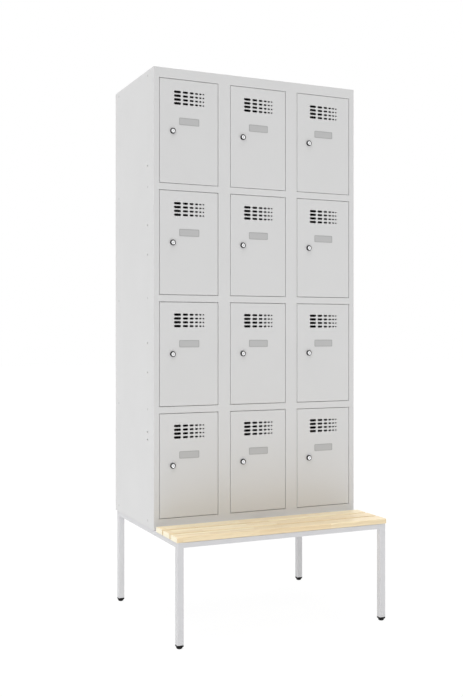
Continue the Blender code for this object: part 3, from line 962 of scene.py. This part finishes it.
@dataclass
class GroundWelds:
    """The welds between the front's rails and uprights, ground flush.

    Each is a thin strip that fills the groove between two sheets. Under the
    paint the front then looks like one sheet.
    """

    half_width: float = 450 * MM
    front: float = -120 * MM
    width: float = 2.8 * MM
    depth: float = 0.9 * MM
    proud: float = 0.03 * MM
    stile: float = 23 * MM
    mullion: float = 52 * MM
    opening_width: float = 250 * MM

    def strip(self, bm: BMesh, low: tuple[float, float], high: tuple[float, float]) -> None:
        """Add one strip between two corners of the front, as (x, z)."""
        back, front = self.front + self.depth, self.front - self.proud
        add_box(bm, (low[0], front, low[1]), (high[0], back, high[1]))

    def build(self, low: float, high: float, rows: list[float], height: float) -> None:
        """Fill the grooves of the whole front.

        Args:
            low: The cabinet's lower edge.
            high: Its upper edge.
            rows: The lower edge of each row of openings.
            height: The openings' height.
        """
        bm = bmesh.new()
        edges = []
        x = self.stile - self.half_width
        while x < self.half_width - self.stile:
            edges += [x, x + self.opening_width]
            x += self.opening_width + self.mullion
        rails = [(low, rows[0])]
        rails += [(start + height, end) for start, end in zip(rows, rows[1:])]
        rails += [(rows[-1] + height, high)]
        half = self.width / 2
        for bottom, top in rails:
            across = bottom > low and top < high
            for edge in edges if across else (edges[0], edges[-1]):
                self.strip(bm, (edge - half, bottom), (edge + half, top))
        for z in (rows[0], rows[-1] + height):
            for left, right in zip(edges[1::2], edges[2::2]):
                self.strip(bm, (left, z - half), (right, z + half))
        mesh = finish_mesh(bm, "ground_welds")
        put("ground_welds", mesh, Finish.CABINET, "carcass")


@dataclass
class DoorShell:
    """A folded door with its vents, channel, hinge pins and label plate.

    Its meshes start on the hinge axis, level with the opening's lower edge.
    """

    opening_width: float = 250 * MM
    opening_height: float = 410 * MM
    gap: float = 1.8 * MM
    depth: float = 18 * MM
    sheet: float = 1.0 * MM
    fold_radius: float = 2.0 * MM
    fold_steps: int = 3
    lip: float = 10 * MM
    hinge_inset: float = 8.8 * MM
    hinge_setback: float = 4.5 * MM
    pin_radius: float = 2.5 * MM
    pin_reach: float = 4.3 * MM
    pin_chamfer: float = 0.6 * MM
    chamfer_steps: int = 2
    channel_width: float = 24 * MM
    channel_depth: float = 12 * MM
    channel_inset: float = 21.8 * MM
    channel_end_gap: float = 4 * MM
    lock_inset: float = 55.5 * MM
    lock_hole_radius: float = 8.3 * MM
    vent_rows: int = 4
    vent_columns: int = 6
    vent_pitch: float = 15 * MM
    vent_drop: float = 50.4 * MM
    vent_length: float = 29.4 * MM
    vent_height: float = 10.0 * MM
    vent_gap: float = 7.6 * MM
    length_share: float = 0.76
    height_share: float = 0.90
    gap_share: float = 0.87
    label_width: float = 84 * MM
    label_height: float = 28 * MM
    label_thickness: float = 0.8 * MM
    label_drop: float = 164.6 * MM
    label_rim: float = 2.4 * MM
    label_corner: float = 3.0 * MM
    corner_steps: int = 4
    label_card: float = 0.5 * MM
    label_backing: float = 0.3 * MM
    vent_steps: int = 16
    hole_steps: int = 24

    @property
    def opening_left(self) -> float:
        """The opening's left edge."""
        return self.hinge_inset - self.opening_width

    @property
    def middle(self) -> float:
        """The line halfway across the opening and the door."""
        return self.hinge_inset - self.opening_width / 2

    @property
    def front(self) -> float:
        """The door's outer face."""
        return -self.hinge_setback

    @property
    def bottom(self) -> float:
        """The door's lower edge."""
        return self.gap

    @property
    def top(self) -> float:
        """The door's upper edge."""
        return self.opening_height - self.gap

    def vent_loops(self, bm: BMesh) -> Edges:
        """Add the outlines of the vents, each column shorter than the last.

        Args:
            bm: The mesh of the door.

        Returns:
            The edges of the outlines.
        """
        lengths = [self.vent_length * self.length_share**k for k in range(self.vent_columns)]
        gaps = [self.vent_gap * self.gap_share**k for k in range(self.vent_columns)]
        x = self.middle - (sum(lengths) + sum(gaps[:-1])) / 2
        edges = []
        for column, length in enumerate(lengths):
            height = self.vent_height * self.height_share**column
            for row in range(self.vent_rows):
                z = self.opening_height - self.vent_drop - row * self.vent_pitch
                centre = Vector((x + length / 2, self.front, z))
                edges += add_slot_loop(bm, centre, length, height, self.vent_steps)
            x += length + gaps[column]
        return edges

    def pan(self) -> Mesh:
        """Fold the door's sheet into a pan with lips and pierce its face.

        Returns:
            The outer skin of the pan.
        """
        low = Vector((self.opening_left + self.gap, self.front, self.bottom))
        high = Vector((self.hinge_inset - self.gap, self.front + self.depth, self.top))
        bm = start_box(low, high)
        bevel(bm, list(bm.edges), self.fold_radius, self.fold_steps)
        rear = max(bm.faces, key=lambda face: face.calc_center_median().y)
        bmesh.ops.inset_region(bm, faces=[rear], thickness=self.lip - self.fold_radius)
        bmesh.ops.delete(bm, geom=[rear], context="FACES_ONLY")
        face = foremost(bm)
        rim = list(face.edges)
        bmesh.ops.delete(bm, geom=[face], context="FACES_ONLY")
        lock = (self.opening_left + self.lock_inset, self.front, self.opening_height / 2)
        bore = 2 * self.lock_hole_radius
        hole = add_slot_loop(bm, Vector(lock), bore, bore, self.hole_steps)
        bmesh.ops.triangle_fill(bm, use_beauty=True, edges=rim + hole + self.vent_loops(bm))
        bmesh.ops.recalc_face_normals(bm, faces=bm.faces)
        if foremost(bm).normal.y > 0:
            bmesh.ops.reverse_faces(bm, faces=bm.faces)
        return finish_mesh(bm, "door_pan")

    def channel(self) -> Mesh:
        """Fold the stiffening channel behind the hinge side.

        Returns:
            The outer skin of the channel.
        """
        right = self.hinge_inset - self.channel_inset
        foot = self.front + self.sheet
        crown = foot + self.channel_depth
        low, high = self.bottom + self.channel_end_gap, self.top - self.channel_end_gap
        bm = start_box((right - self.channel_width, foot, low), (right, crown, high))
        ends = [face for face in bm.faces if abs(face.normal.z) > FACING]
        open_side = [face for face in bm.faces if face.normal.y < -FACING]
        bmesh.ops.delete(bm, geom=ends + open_side, context="FACES")
        corners = [
            edge
            for edge in along(list(bm.edges), Axis.Z)
            if edge.verts[0].co.y > crown - self.sheet
        ]
        bevel(bm, corners, self.fold_radius, self.fold_steps)
        return finish_mesh(bm, "door_channel")

    def pins(self) -> Mesh:
        """Turn the two hinge pins, with a small chamfer at their tips.

        Returns:
            Both pins in one mesh.
        """
        bm = bmesh.new()
        length = self.sheet + self.gap + self.pin_reach
        for base, sign in ((self.bottom, -1), (self.top, 1)):
            root = base - sign * self.sheet
            shaft = bmesh.ops.create_cone(
                bm,
                cap_ends=True,
                segments=self.hole_steps,
                radius1=self.pin_radius,
                radius2=self.pin_radius,
                depth=length,
                matrix=Matrix.Translation((0, 0, root + sign * length / 2)),
            )["verts"]
            end = root + sign * length
            tip_edges = {
                edge
                for corner in shaft
                for edge in corner.link_edges
                if all(abs(v.co.z - end) < TOUCHING for v in edge.verts)
            }
            bevel(bm, list(tip_edges), self.pin_chamfer, self.chamfer_steps)
        return finish_mesh(bm, "hinge_pins")

    def label_rim_mesh(self) -> Mesh:
        """Make the label plate's raised rim."""
        return self.label_block("label_rim", 0.0, self.label_thickness, self.label_rim)

    def label_card_mesh(self) -> Mesh:
        """Make the flat field inside the rim."""
        return self.label_block("label_card", self.label_rim, self.label_card, 0.0)

    def label_block(self, name: str, inset: float, thickness: float, rim: float) -> Mesh:
        """Make a thin plate on the door, or a frame when it has a rim.

        Args:
            name: The mesh's name.
            inset: How far it lies inside the label's outline.
            thickness: How far it stands proud of the door.
            rim: The frame's width, or 0 for a plain plate.

        Returns:
            The mesh.
        """
        z = self.opening_height - self.label_drop
        half_width = self.label_width / 2 - inset
        half_height = self.label_height / 2 - inset
        bm = start_box(
            (self.middle - half_width, self.front - thickness, z - half_height),
            (self.middle + half_width, self.front, z + half_height),
        )
        corners = along(list(bm.edges), Axis.Y)
        bevel(bm, corners, self.label_corner - inset, self.corner_steps)
        front = foremost(bm)
        if rim:
            bmesh.ops.inset_region(bm, faces=[front], thickness=rim)
            made = bmesh.ops.extrude_face_region(bm, geom=[front])["geom"]
            push(bm, made, (0, thickness - self.label_backing, 0))
            bmesh.ops.delete(bm, geom=[front], context="FACES_ONLY")
        bmesh.ops.recalc_face_normals(bm, faces=bm.faces)
        return finish_mesh(bm, name)

    def build(self, axes: dict[str, Vector]) -> None:
        """Hang a door in every opening.

        Args:
            axes: Each compartment's hinge axis at its opening's lower edge.
        """
        paint, wall = "door_paint", self.sheet
        fittings = (
            Fitting("door_pan", self.pan(), Finish.DOOR, paint, wall),
            Fitting("door_channel", self.channel(), Finish.DOOR, paint, wall),
            Fitting("hinge_pins", self.pins(), Finish.ZINC, "cam_zinc"),
            Fitting("label_rim", self.label_rim_mesh(), Finish.LABEL_RIM),
            Fitting("label_card", self.label_card_mesh(), Finish.LABEL),
        )
        for key, place in axes.items():
            fit(fittings, key, place, f"door_{key}", f"door_{key}")


@dataclass
class CamLock:
    """A cam lock: collar, threaded barrel and nut, turning plug and cam.

    Its meshes start at the lock's middle on the door's outer face.
    """

    collar_radius: float = 11 * MM
    face_radius: float = 7.9 * MM
    recess: float = 0.5 * MM
    collar_height: float = 6.8 * MM
    chamfer: float = 1.6 * MM
    seat_gap: float = 0.3 * MM
    barrel_radius: float = 8.0 * MM
    barrel_end: float = 22.9 * MM
    thread_pitch: float = 1.0 * MM
    thread_depth: float = 0.5 * MM
    plug_radius: float = 6.6 * MM
    plug_play: float = 0.3 * MM
    shank_radius: float = 5.0 * MM
    keyhole_width: float = 1.7 * MM
    keyhole_height: float = 5.6 * MM
    keyhole_depth: float = 2.4 * MM
    nut_width: float = 22 * MM
    nut_height: float = 4 * MM
    nut_start: float = 1.2 * MM
    cam_front: float = 23.2 * MM
    cam_thickness: float = 2.0 * MM
    cam_width: float = 16 * MM
    cam_reach: float = 66.5 * MM
    cam_easing: float = 0.3 * MM
    washer_radius: float = 6.0 * MM
    washer_thickness: float = 1.0 * MM
    screw_radius: float = 4.6 * MM
    screw_head: float = 3.0 * MM
    plug_head: float = 3.0 * MM
    plug_sink: float = 0.2 * MM
    collar_ease: float = 0.5 * MM
    edge_ease: float = 0.4 * MM
    throat: float = 1.5 * MM
    collar_lip: float = 0.15 * MM
    ring_lip: float = 0.1 * MM
    ring_taper: float = 1.6 * MM
    thread_start: float = 2.0 * MM
    hole_steps: int = 24
    keyhole_steps: int = 12
    cam_steps: int = 32
    easing_steps: int = 2
    steps: int = 48

    def collar(self) -> Mesh:
        """Turn the collar ring that stands proud of the door, drawn near black as painted shade
        and dark reflection.

        Returns:
            The ring.
        """
        front = -self.collar_height - self.seat_gap
        ease = self.collar_ease
        profile = [
            (self.face_radius, front + self.collar_lip),
            (self.collar_radius - ease, front + self.chamfer - ease),
            (self.collar_radius, front + self.chamfer + ease),
            (self.collar_radius, -self.seat_gap),
            (self.barrel_radius, -self.seat_gap),
            (self.face_radius - ease, front + self.throat),
        ]
        bm = bmesh.new()
        turn_profile(bm, profile, self.steps)
        return finish_mesh(bm, "lock_collar")

    def barrel(self) -> Mesh:
        """Turn the bright face ring and the threaded barrel behind it.

        Returns:
            Both in one mesh.
        """
        front = -self.collar_height - self.seat_gap + self.recess
        bore = self.plug_radius + self.plug_play
        ease = self.edge_ease
        profile = [
            (bore, front + ease),
            (bore + ease, front),
            (self.face_radius - ease, front),
            (self.face_radius, front + self.ring_lip),
            (self.face_radius - ease, front + self.ring_taper),
            (self.barrel_radius, 0.0),
        ]
        run = self.thread_start
        while run + self.thread_pitch < self.barrel_end:
            root = self.barrel_radius - self.thread_depth
            profile += [(self.barrel_radius, run), (root, run + self.thread_pitch / 2)]
            run += self.thread_pitch
        profile += [
            (self.barrel_radius - self.thread_depth, self.barrel_end),
            (self.shank_radius + self.plug_play, self.barrel_end),
            (self.shank_radius + self.plug_play, 0.0),
            (bore, 0.0),
        ]
        bm = bmesh.new()
        turn_profile(bm, profile, self.steps)
        return finish_mesh(bm, "lock_barrel")

    def nut(self) -> Mesh:
        """Cut the hexagonal nut that clamps the barrel to the door.

        Returns:
            The nut.
        """
        bm = bmesh.new()
        place = Matrix.Translation((0, self.nut_start + self.nut_height / 2, 0))
        bmesh.ops.create_cone(
            bm,
            cap_ends=False,
            segments=HEXAGON,
            radius1=self.nut_width / math.sqrt(3),
            radius2=self.nut_width / math.sqrt(3),
            depth=self.nut_height,
            matrix=place @ LAY_DOWN,
        )
        outer = [edge for edge in bm.edges if edge.is_boundary]
        for side in (self.nut_start, self.nut_start + self.nut_height):
            bore = 2 * self.barrel_radius
            hole = add_slot_loop(bm, Vector((0, side, 0)), bore, bore, self.hole_steps)
            rim = [edge for edge in outer if abs(edge.verts[0].co.y - side) < TOUCHING]
            bmesh.ops.triangle_fill(bm, use_beauty=True, edges=rim + hole)
        inner = [edge for edge in bm.edges if edge.is_boundary]
        bmesh.ops.bridge_loops(bm, edges=inner)
        bmesh.ops.recalc_face_normals(bm, faces=bm.faces)
        return finish_mesh(bm, "lock_nut")

    def plug(self) -> Mesh:
        """Turn the key plug and pierce its face for the keyhole.

        Returns:
            The plug.
        """
        front = self.plug_front
        ease = self.edge_ease
        profile = [
            (self.plug_radius - ease, front),
            (self.plug_radius, front + ease),
            (self.plug_radius, front + self.plug_head),
            (self.shank_radius, front + self.plug_head),
            (self.shank_radius, self.cam_front),
            (0.0, self.cam_front),
        ]
        bm = bmesh.new()
        turn_profile(bm, profile, self.steps)
        rim = [edge for edge in bm.edges if edge.is_boundary]
        slot = self.keyhole_loop(bm, front)
        bmesh.ops.triangle_fill(bm, use_beauty=True, edges=rim + slot)
        bmesh.ops.recalc_face_normals(bm, faces=bm.faces)
        return finish_mesh(bm, "lock_plug")

    @property
    def plug_front(self) -> float:
        """The plug's face, a hair behind the bright ring's."""
        return -self.collar_height - self.seat_gap + self.recess + self.plug_sink

    def keyhole_loop(self, bm: BMesh, depth: float) -> Edges:
        """Add the outline of the keyhole.

        Args:
            bm: The mesh that gets the outline.
            depth: Its place along the axis of the lock.

        Returns:
            The edges of the outline.
        """
        middle, steps = Vector((0, depth, 0)), self.keyhole_steps
        height, width = self.keyhole_height, self.keyhole_width
        return add_slot_loop(bm, middle, height, width, steps, upright=True)

    def keyway(self) -> Mesh:
        """Sink the keyhole's walls and floor, drawn near black as painted shade.

        Returns:
            The walls and the floor.
        """
        bm = bmesh.new()
        slot = self.keyhole_loop(bm, self.plug_front)
        made = bmesh.ops.extrude_edge_only(bm, edges=slot)["geom"]
        sunk = push(bm, made, (0, self.keyhole_depth, 0))
        bottom = [
            item
            for item in made
            if isinstance(item, bmesh.types.BMEdge)
            and all(corner in sunk for corner in item.verts)
        ]
        bmesh.ops.triangle_fill(bm, use_beauty=True, edges=bottom)
        bmesh.ops.recalc_face_normals(bm, faces=bm.faces)
        bmesh.ops.reverse_faces(bm, faces=bm.faces)
        return finish_mesh(bm, "lock_keyway")

    def cam(self) -> Mesh:
        """Cut the cam with round ends, and add its washer and screw.

        Returns:
            All three in one mesh.
        """
        bm = bmesh.new()
        length = self.cam_reach + self.cam_width / 2
        middle = (self.cam_width / 2 - self.cam_reach) / 2
        centre = Vector((0, self.cam_front, middle))
        outline = add_slot_loop(bm, centre, length, self.cam_width, self.cam_steps, upright=True)
        bmesh.ops.triangle_fill(bm, use_beauty=True, edges=outline)
        made = bmesh.ops.extrude_face_region(bm, geom=list(bm.faces))["geom"]
        push(bm, made, (0, self.cam_thickness, 0))
        bmesh.ops.recalc_face_normals(bm, faces=bm.faces)
        rims = [e for e in bm.edges if e.calc_face_angle(0.0) > SQUARE_FOLD]
        bevel(bm, rims, self.cam_easing, self.easing_steps)
        rear = self.cam_front + self.cam_thickness
        for start, height, radius, sides in (
            (rear, self.washer_thickness, self.washer_radius, self.cam_steps),
            (rear + self.washer_thickness, self.screw_head, self.screw_radius, HEXAGON),
        ):
            bmesh.ops.create_cone(
                bm,
                cap_ends=True,
                segments=sides,
                radius1=radius,
                radius2=radius,
                depth=height,
                matrix=Matrix.Translation((0, start + height / 2, 0)) @ LAY_DOWN,
            )
        return finish_mesh(bm, "lock_cam_lever")

    def build(self, centres: dict[str, Vector]) -> None:
        """Fit a lock to every door.

        Args:
            centres: Each compartment's lock axis at the door's outer face.
        """
        chrome, zinc = "lock_chrome", "cam_zinc"
        fixed = (
            Fitting("lock_barrel", self.barrel(), Finish.CHROME, chrome),
            Fitting("lock_collar", self.collar(), Finish.RING, chrome),
            Fitting("lock_nut", self.nut(), Finish.ZINC, zinc),
        )
        turning = (
            Fitting("lock_lever", self.cam(), Finish.ZINC, zinc),
            Fitting("lock_plug", self.plug(), Finish.CHROME, chrome),
            Fitting("lock_keyway", self.keyway(), Finish.RING, chrome),
        )
        for key, place in centres.items():
            fit(fixed, key, place, f"door_{key}", f"lock_body_{key}")
            fit(turning, key, place, f"cam_{key}", f"lock_cam_{key}")


@dataclass
class TubeFrame:
    """The welded base: four legs, three long rails, two side rails, a stretcher."""

    tube: float = 25 * MM
    rail_height: float = 20 * MM
    corner: float = 2.0 * MM
    corner_steps: int = 4
    inset: float = 0.15 * MM
    cross_front: float = -116 * MM

    def tube_between(self, bm: BMesh, low: Vector, high: Vector, axis: Axis) -> None:
        """Add a tube with rounded corners along an axis."""
        bevel(bm, along(add_box(bm, low, high), axis), self.corner, self.corner_steps)

    def build(self) -> None:
        """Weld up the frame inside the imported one's box."""
        low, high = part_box("base_frame")
        tube, inset = self.tube, self.inset
        under = high.z - self.rail_height
        bm = bmesh.new()
        lefts = (low.x, high.x - tube)
        for x in lefts:
            for y in (low.y, high.y - tube):
                self.tube_between(
                    bm, Vector((x, y, low.z)), Vector((x + tube, y + tube, high.z)), Axis.Z
                )
            self.tube_between(
                bm,
                Vector((x + inset, low.y + tube - self.corner, under)),
                Vector((x + tube - inset, high.y - tube + self.corner, high.z - inset)),
                Axis.Y,
            )
        for y in (low.y, self.cross_front, high.y - tube):
            reach = self.corner if y != self.cross_front else inset
            self.tube_between(
                bm,
                Vector((low.x + tube - reach, y + inset, under)),
                Vector((high.x - tube + reach, y + tube - inset, high.z - inset)),
                Axis.X,
            )
        self.tube_between(
            bm,
            Vector((-tube / 2, low.y + tube - inset, under)),
            Vector((tube / 2, self.cross_front + inset, high.z - inset)),
            Axis.Y,
        )
        mesh = finish_mesh(bm, "tube_frame")
        put("tube_frame", mesh, Finish.TUBE, "carcass", ("base_frame",))


@dataclass
class BenchSlats:
    """The bench's slats, planed with rounded long edges and eased ends."""

    rounding: float = 3.0 * MM
    rounding_steps: int = 5
    easing: float = 0.8 * MM
    easing_steps: int = 2

    def build(self, names: list[str]) -> None:
        """Replace each slat.

        Args:
            names: The names of the slats.
        """
        for name in names:
            low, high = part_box(name)
            bm = start_box(low, high)
            bevel(bm, along(list(bm.edges), Axis.X), self.rounding, self.rounding_steps)
            ends = [face for face in bm.faces if abs(face.normal.x) > FACING]
            rims = list({edge for face in ends for edge in face.edges})
            bevel(bm, rims, self.easing, self.easing_steps)
            mesh = finish_mesh(bm, f"{name}_planed")
            put(f"{name}_planed", mesh, Finish.WOOD, "carcass", (name,))


@dataclass
class Glide:
    """A black plastic foot: a square collar on a round one with a soft edge."""

    collar: float = 6.0 * MM
    height: float = 15.0 * MM
    rounding: float = 7.0 * MM
    rounding_steps: int = 8
    corner: float = 2.2 * MM
    corner_steps: int = 4
    shrink: float = 0.3 * MM
    steps: int = 40

    def build(self, names: list[str]) -> None:
        """Replace each glide.

        Args:
            names: The names of the glides.
        """
        for name in names:
            low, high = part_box(name)
            half = (high.x - low.x) / 2
            neck = self.height - self.collar
            radius, sink = half - self.shrink, neck + self.collar / 2
            profile = [(0.0, 0.0)]
            for step in range(self.rounding_steps + 1):
                angle = math.pi / 2 * step / self.rounding_steps
                inset = self.rounding * (1 - math.sin(angle))
                profile.append((radius - inset, self.rounding * (1 - math.cos(angle))))
            profile += [(radius, sink), (0.0, sink)]
            bm = bmesh.new()
            turn_profile(bm, profile, self.steps)
            stand = Matrix.Rotation(math.pi / 2, 3, "X")
            bmesh.ops.rotate(bm, cent=(0, 0, 0), matrix=stand, verts=bm.verts)
            edges = add_box(bm, (-half, -half, neck), (half, half, self.height))
            bevel(bm, along(edges, Axis.Z), self.corner, self.corner_steps)
            centre = Vector(((low.x + high.x) / 2, (low.y + high.y) / 2, 0))
            bmesh.ops.translate(bm, verts=bm.verts, vec=centre)
            mesh = finish_mesh(bm, f"{name}_foot")
            put(f"{name}_foot", mesh, Finish.PLASTIC, "carcass", (name,))


@dataclass
class Studio:
    """A white floor, soft light and the photograph's camera."""

    photo_height: float = 697.0
    focal_pixels: float = 971.8
    horizon_row: float = 333.4
    camera_place: Triple = (-1.718, -3.677, 1.154)
    camera_yaw: float = 0.4223
    sensor: float = 36.0
    floor_size: float = 60.0
    ambient: float = 0.24
    key_strength: float = 0.88
    key_direction: Triple = (-0.52, -0.62, 0.58)
    top_strength: float = 2.8
    top_direction: Triple = (-0.06, 0.12, 1.0)
    softness: float = math.radians(60)
    floor_colour: str = "#C4C4C4"
    floor_roughness: float = 0.9
    floor_glow: float = 0.62
    shadow_share: float = 0.10

    def camera(self) -> None:
        """Set up the level camera, with a shift that puts the horizon right."""
        data = bpy.data.cameras.new("camera")
        data.sensor_width = self.sensor
        data.lens = self.focal_pixels / self.photo_height * self.sensor
        data.shift_y = (self.horizon_row - self.photo_height / 2) / self.photo_height
        camera = bpy.data.objects.new("camera", data)
        camera.location = self.camera_place
        camera.rotation_euler = (math.pi / 2, 0, -self.camera_yaw)
        bpy.context.scene.collection.objects.link(camera)
        bpy.context.scene.camera = camera

    def sun(self, name: str, direction: Triple, strength: float) -> None:
        """Add a soft sun.

        Args:
            name: The lamp's name.
            direction: Where it shines from.
            strength: Its strength.
        """
        data = bpy.data.lights.new(name, "SUN")
        data.energy = strength
        data.angle = self.softness
        lamp = bpy.data.objects.new(name, data)
        lamp.rotation_mode = "QUATERNION"
        lamp.rotation_quaternion = Vector(direction).to_track_quat("Z", "Y")
        bpy.context.scene.collection.objects.link(lamp)

    def seen_directly(self, tree: Tree) -> Socket:
        """Tell the rays that see a thing from those that light it.

        Args:
            tree: The node tree that gets the nodes.

        Returns:
            1 for rays from the camera, a mirror or a glass, and 0 for the others.
        """
        rays = add_node(tree, "LightPath").outputs
        seen = rays["Is Camera Ray"]
        for ray in ("Is Glossy Ray", "Is Transmission Ray"):
            links = {0: seen, 1: rays[ray]}
            seen = add_node(tree, "Math", {"operation": "MAXIMUM"}, links).outputs[0]
        return seen

    def world(self) -> None:
        """Light the scene evenly, and show white behind the locker."""
        world = bpy.data.worlds.new("studio")
        bpy.context.scene.world = world
        world.use_nodes = True
        tree = world.node_tree
        tree.nodes.clear()
        light, white = [
            add_node(tree, "Background", {"Color": WHITE, "Strength": strength}).outputs[0]
            for strength in (self.ambient, 1.0)
        ]
        links = {0: self.seen_directly(tree), 1: light, 2: white}
        mix = add_node(tree, "MixShader", links=links)
        add_node(tree, "OutputWorld", links={"Surface": mix.outputs[0]})

    def floor(self) -> None:
        """Lay a white floor that keeps a faint shadow and lights the locker from below.

        It glows a little by itself, and the camera and mirrors see it as plain white
        with a share of its true shade.
        """
        bm = bmesh.new()
        bmesh.ops.create_grid(bm, x_segments=1, y_segments=1, size=self.floor_size / 2)
        mesh = finish_mesh(bm, "floor")
        floor = bpy.data.objects.new("floor", mesh)
        bpy.context.scene.collection.objects.link(floor)
        paint = bpy.data.materials.new("white_floor")
        paint.use_nodes = True
        tree = paint.node_tree
        shader = tree.nodes["Principled BSDF"]
        shader.inputs["Base Color"].default_value = linear(self.floor_colour)
        shader.inputs["Roughness"].default_value = self.floor_roughness
        shader.inputs["Specular IOR Level"].default_value = 0.0
        shader.inputs["Emission Color"].default_value = WHITE
        shader.inputs["Emission Strength"].default_value = self.floor_glow
        glow = add_node(tree, "Emission", {"Color": WHITE, "Strength": 1.0})
        share = add_node(
            tree,
            "Math",
            {"operation": "MULTIPLY", 1: 1 - self.shadow_share},
            {0: self.seen_directly(tree)},
        )
        links = {0: share.outputs[0], 1: shader.outputs[0], 2: glow.outputs[0]}
        mix = add_node(tree, "MixShader", links=links)
        output = tree.nodes["Material Output"]
        tree.links.new(mix.outputs[0], output.inputs["Surface"])
        mesh.materials.append(paint)

    def build(self) -> None:
        """Set up the whole studio."""
        bpy.context.scene.view_settings.view_transform = "Standard"
        self.world()
        self.floor()
        self.sun("key", self.key_direction, self.key_strength)
        self.sun("top", self.top_direction, self.top_strength)
        self.camera()


def joint_places(frame: dict, start: str, end: str) -> dict[str, Vector]:
    """Return the place of each joint whose name has a start and an end.

    Args:
        frame: The loaded model.
        start: How the joint's name starts.
        end: How it ends.

    Returns:
        The joints' places by what stands between start and end.
    """
    return {
        joint["name"][len(start) : -len(end)]: Vector(joint["pos_m"])
        for joint in frame["joints"]
        if joint["name"].startswith(start) and joint["name"].endswith(end)
    }


def main() -> None:
    """Load the model, build each sub-assembly, and note the boxes' sizes."""
    logging.basicConfig(level=logging.INFO, format="%(name)s: %(message)s")
    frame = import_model()
    nodes = frame["nodes"]
    sheets = [
        name
        for name in sorted(nodes)
        if name.startswith(("side_", "top_", "bottom_", "back_", "partition_", "shelf_"))
    ]
    CabinetShell().build(nodes, sheets)
    hinges = joint_places(frame, "door_", "_hinge")
    rows = sorted({round(place.z, 4) for place in hinges.values()})
    low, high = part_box("side_panel_left")
    door = DoorShell()
    GroundWelds().build(low.z, high.z, rows, door.opening_height)
    door.build(hinges)
    CamLock().build(joint_places(frame, "lock_", "_turn"))
    TubeFrame().build()
    BenchSlats().build([name for name in sorted(nodes) if name.startswith("slat_")])
    Glide().build([name for name in sorted(nodes) if name.startswith("glide_")])
    Studio().build()


if __name__ == "__main__":
    main()
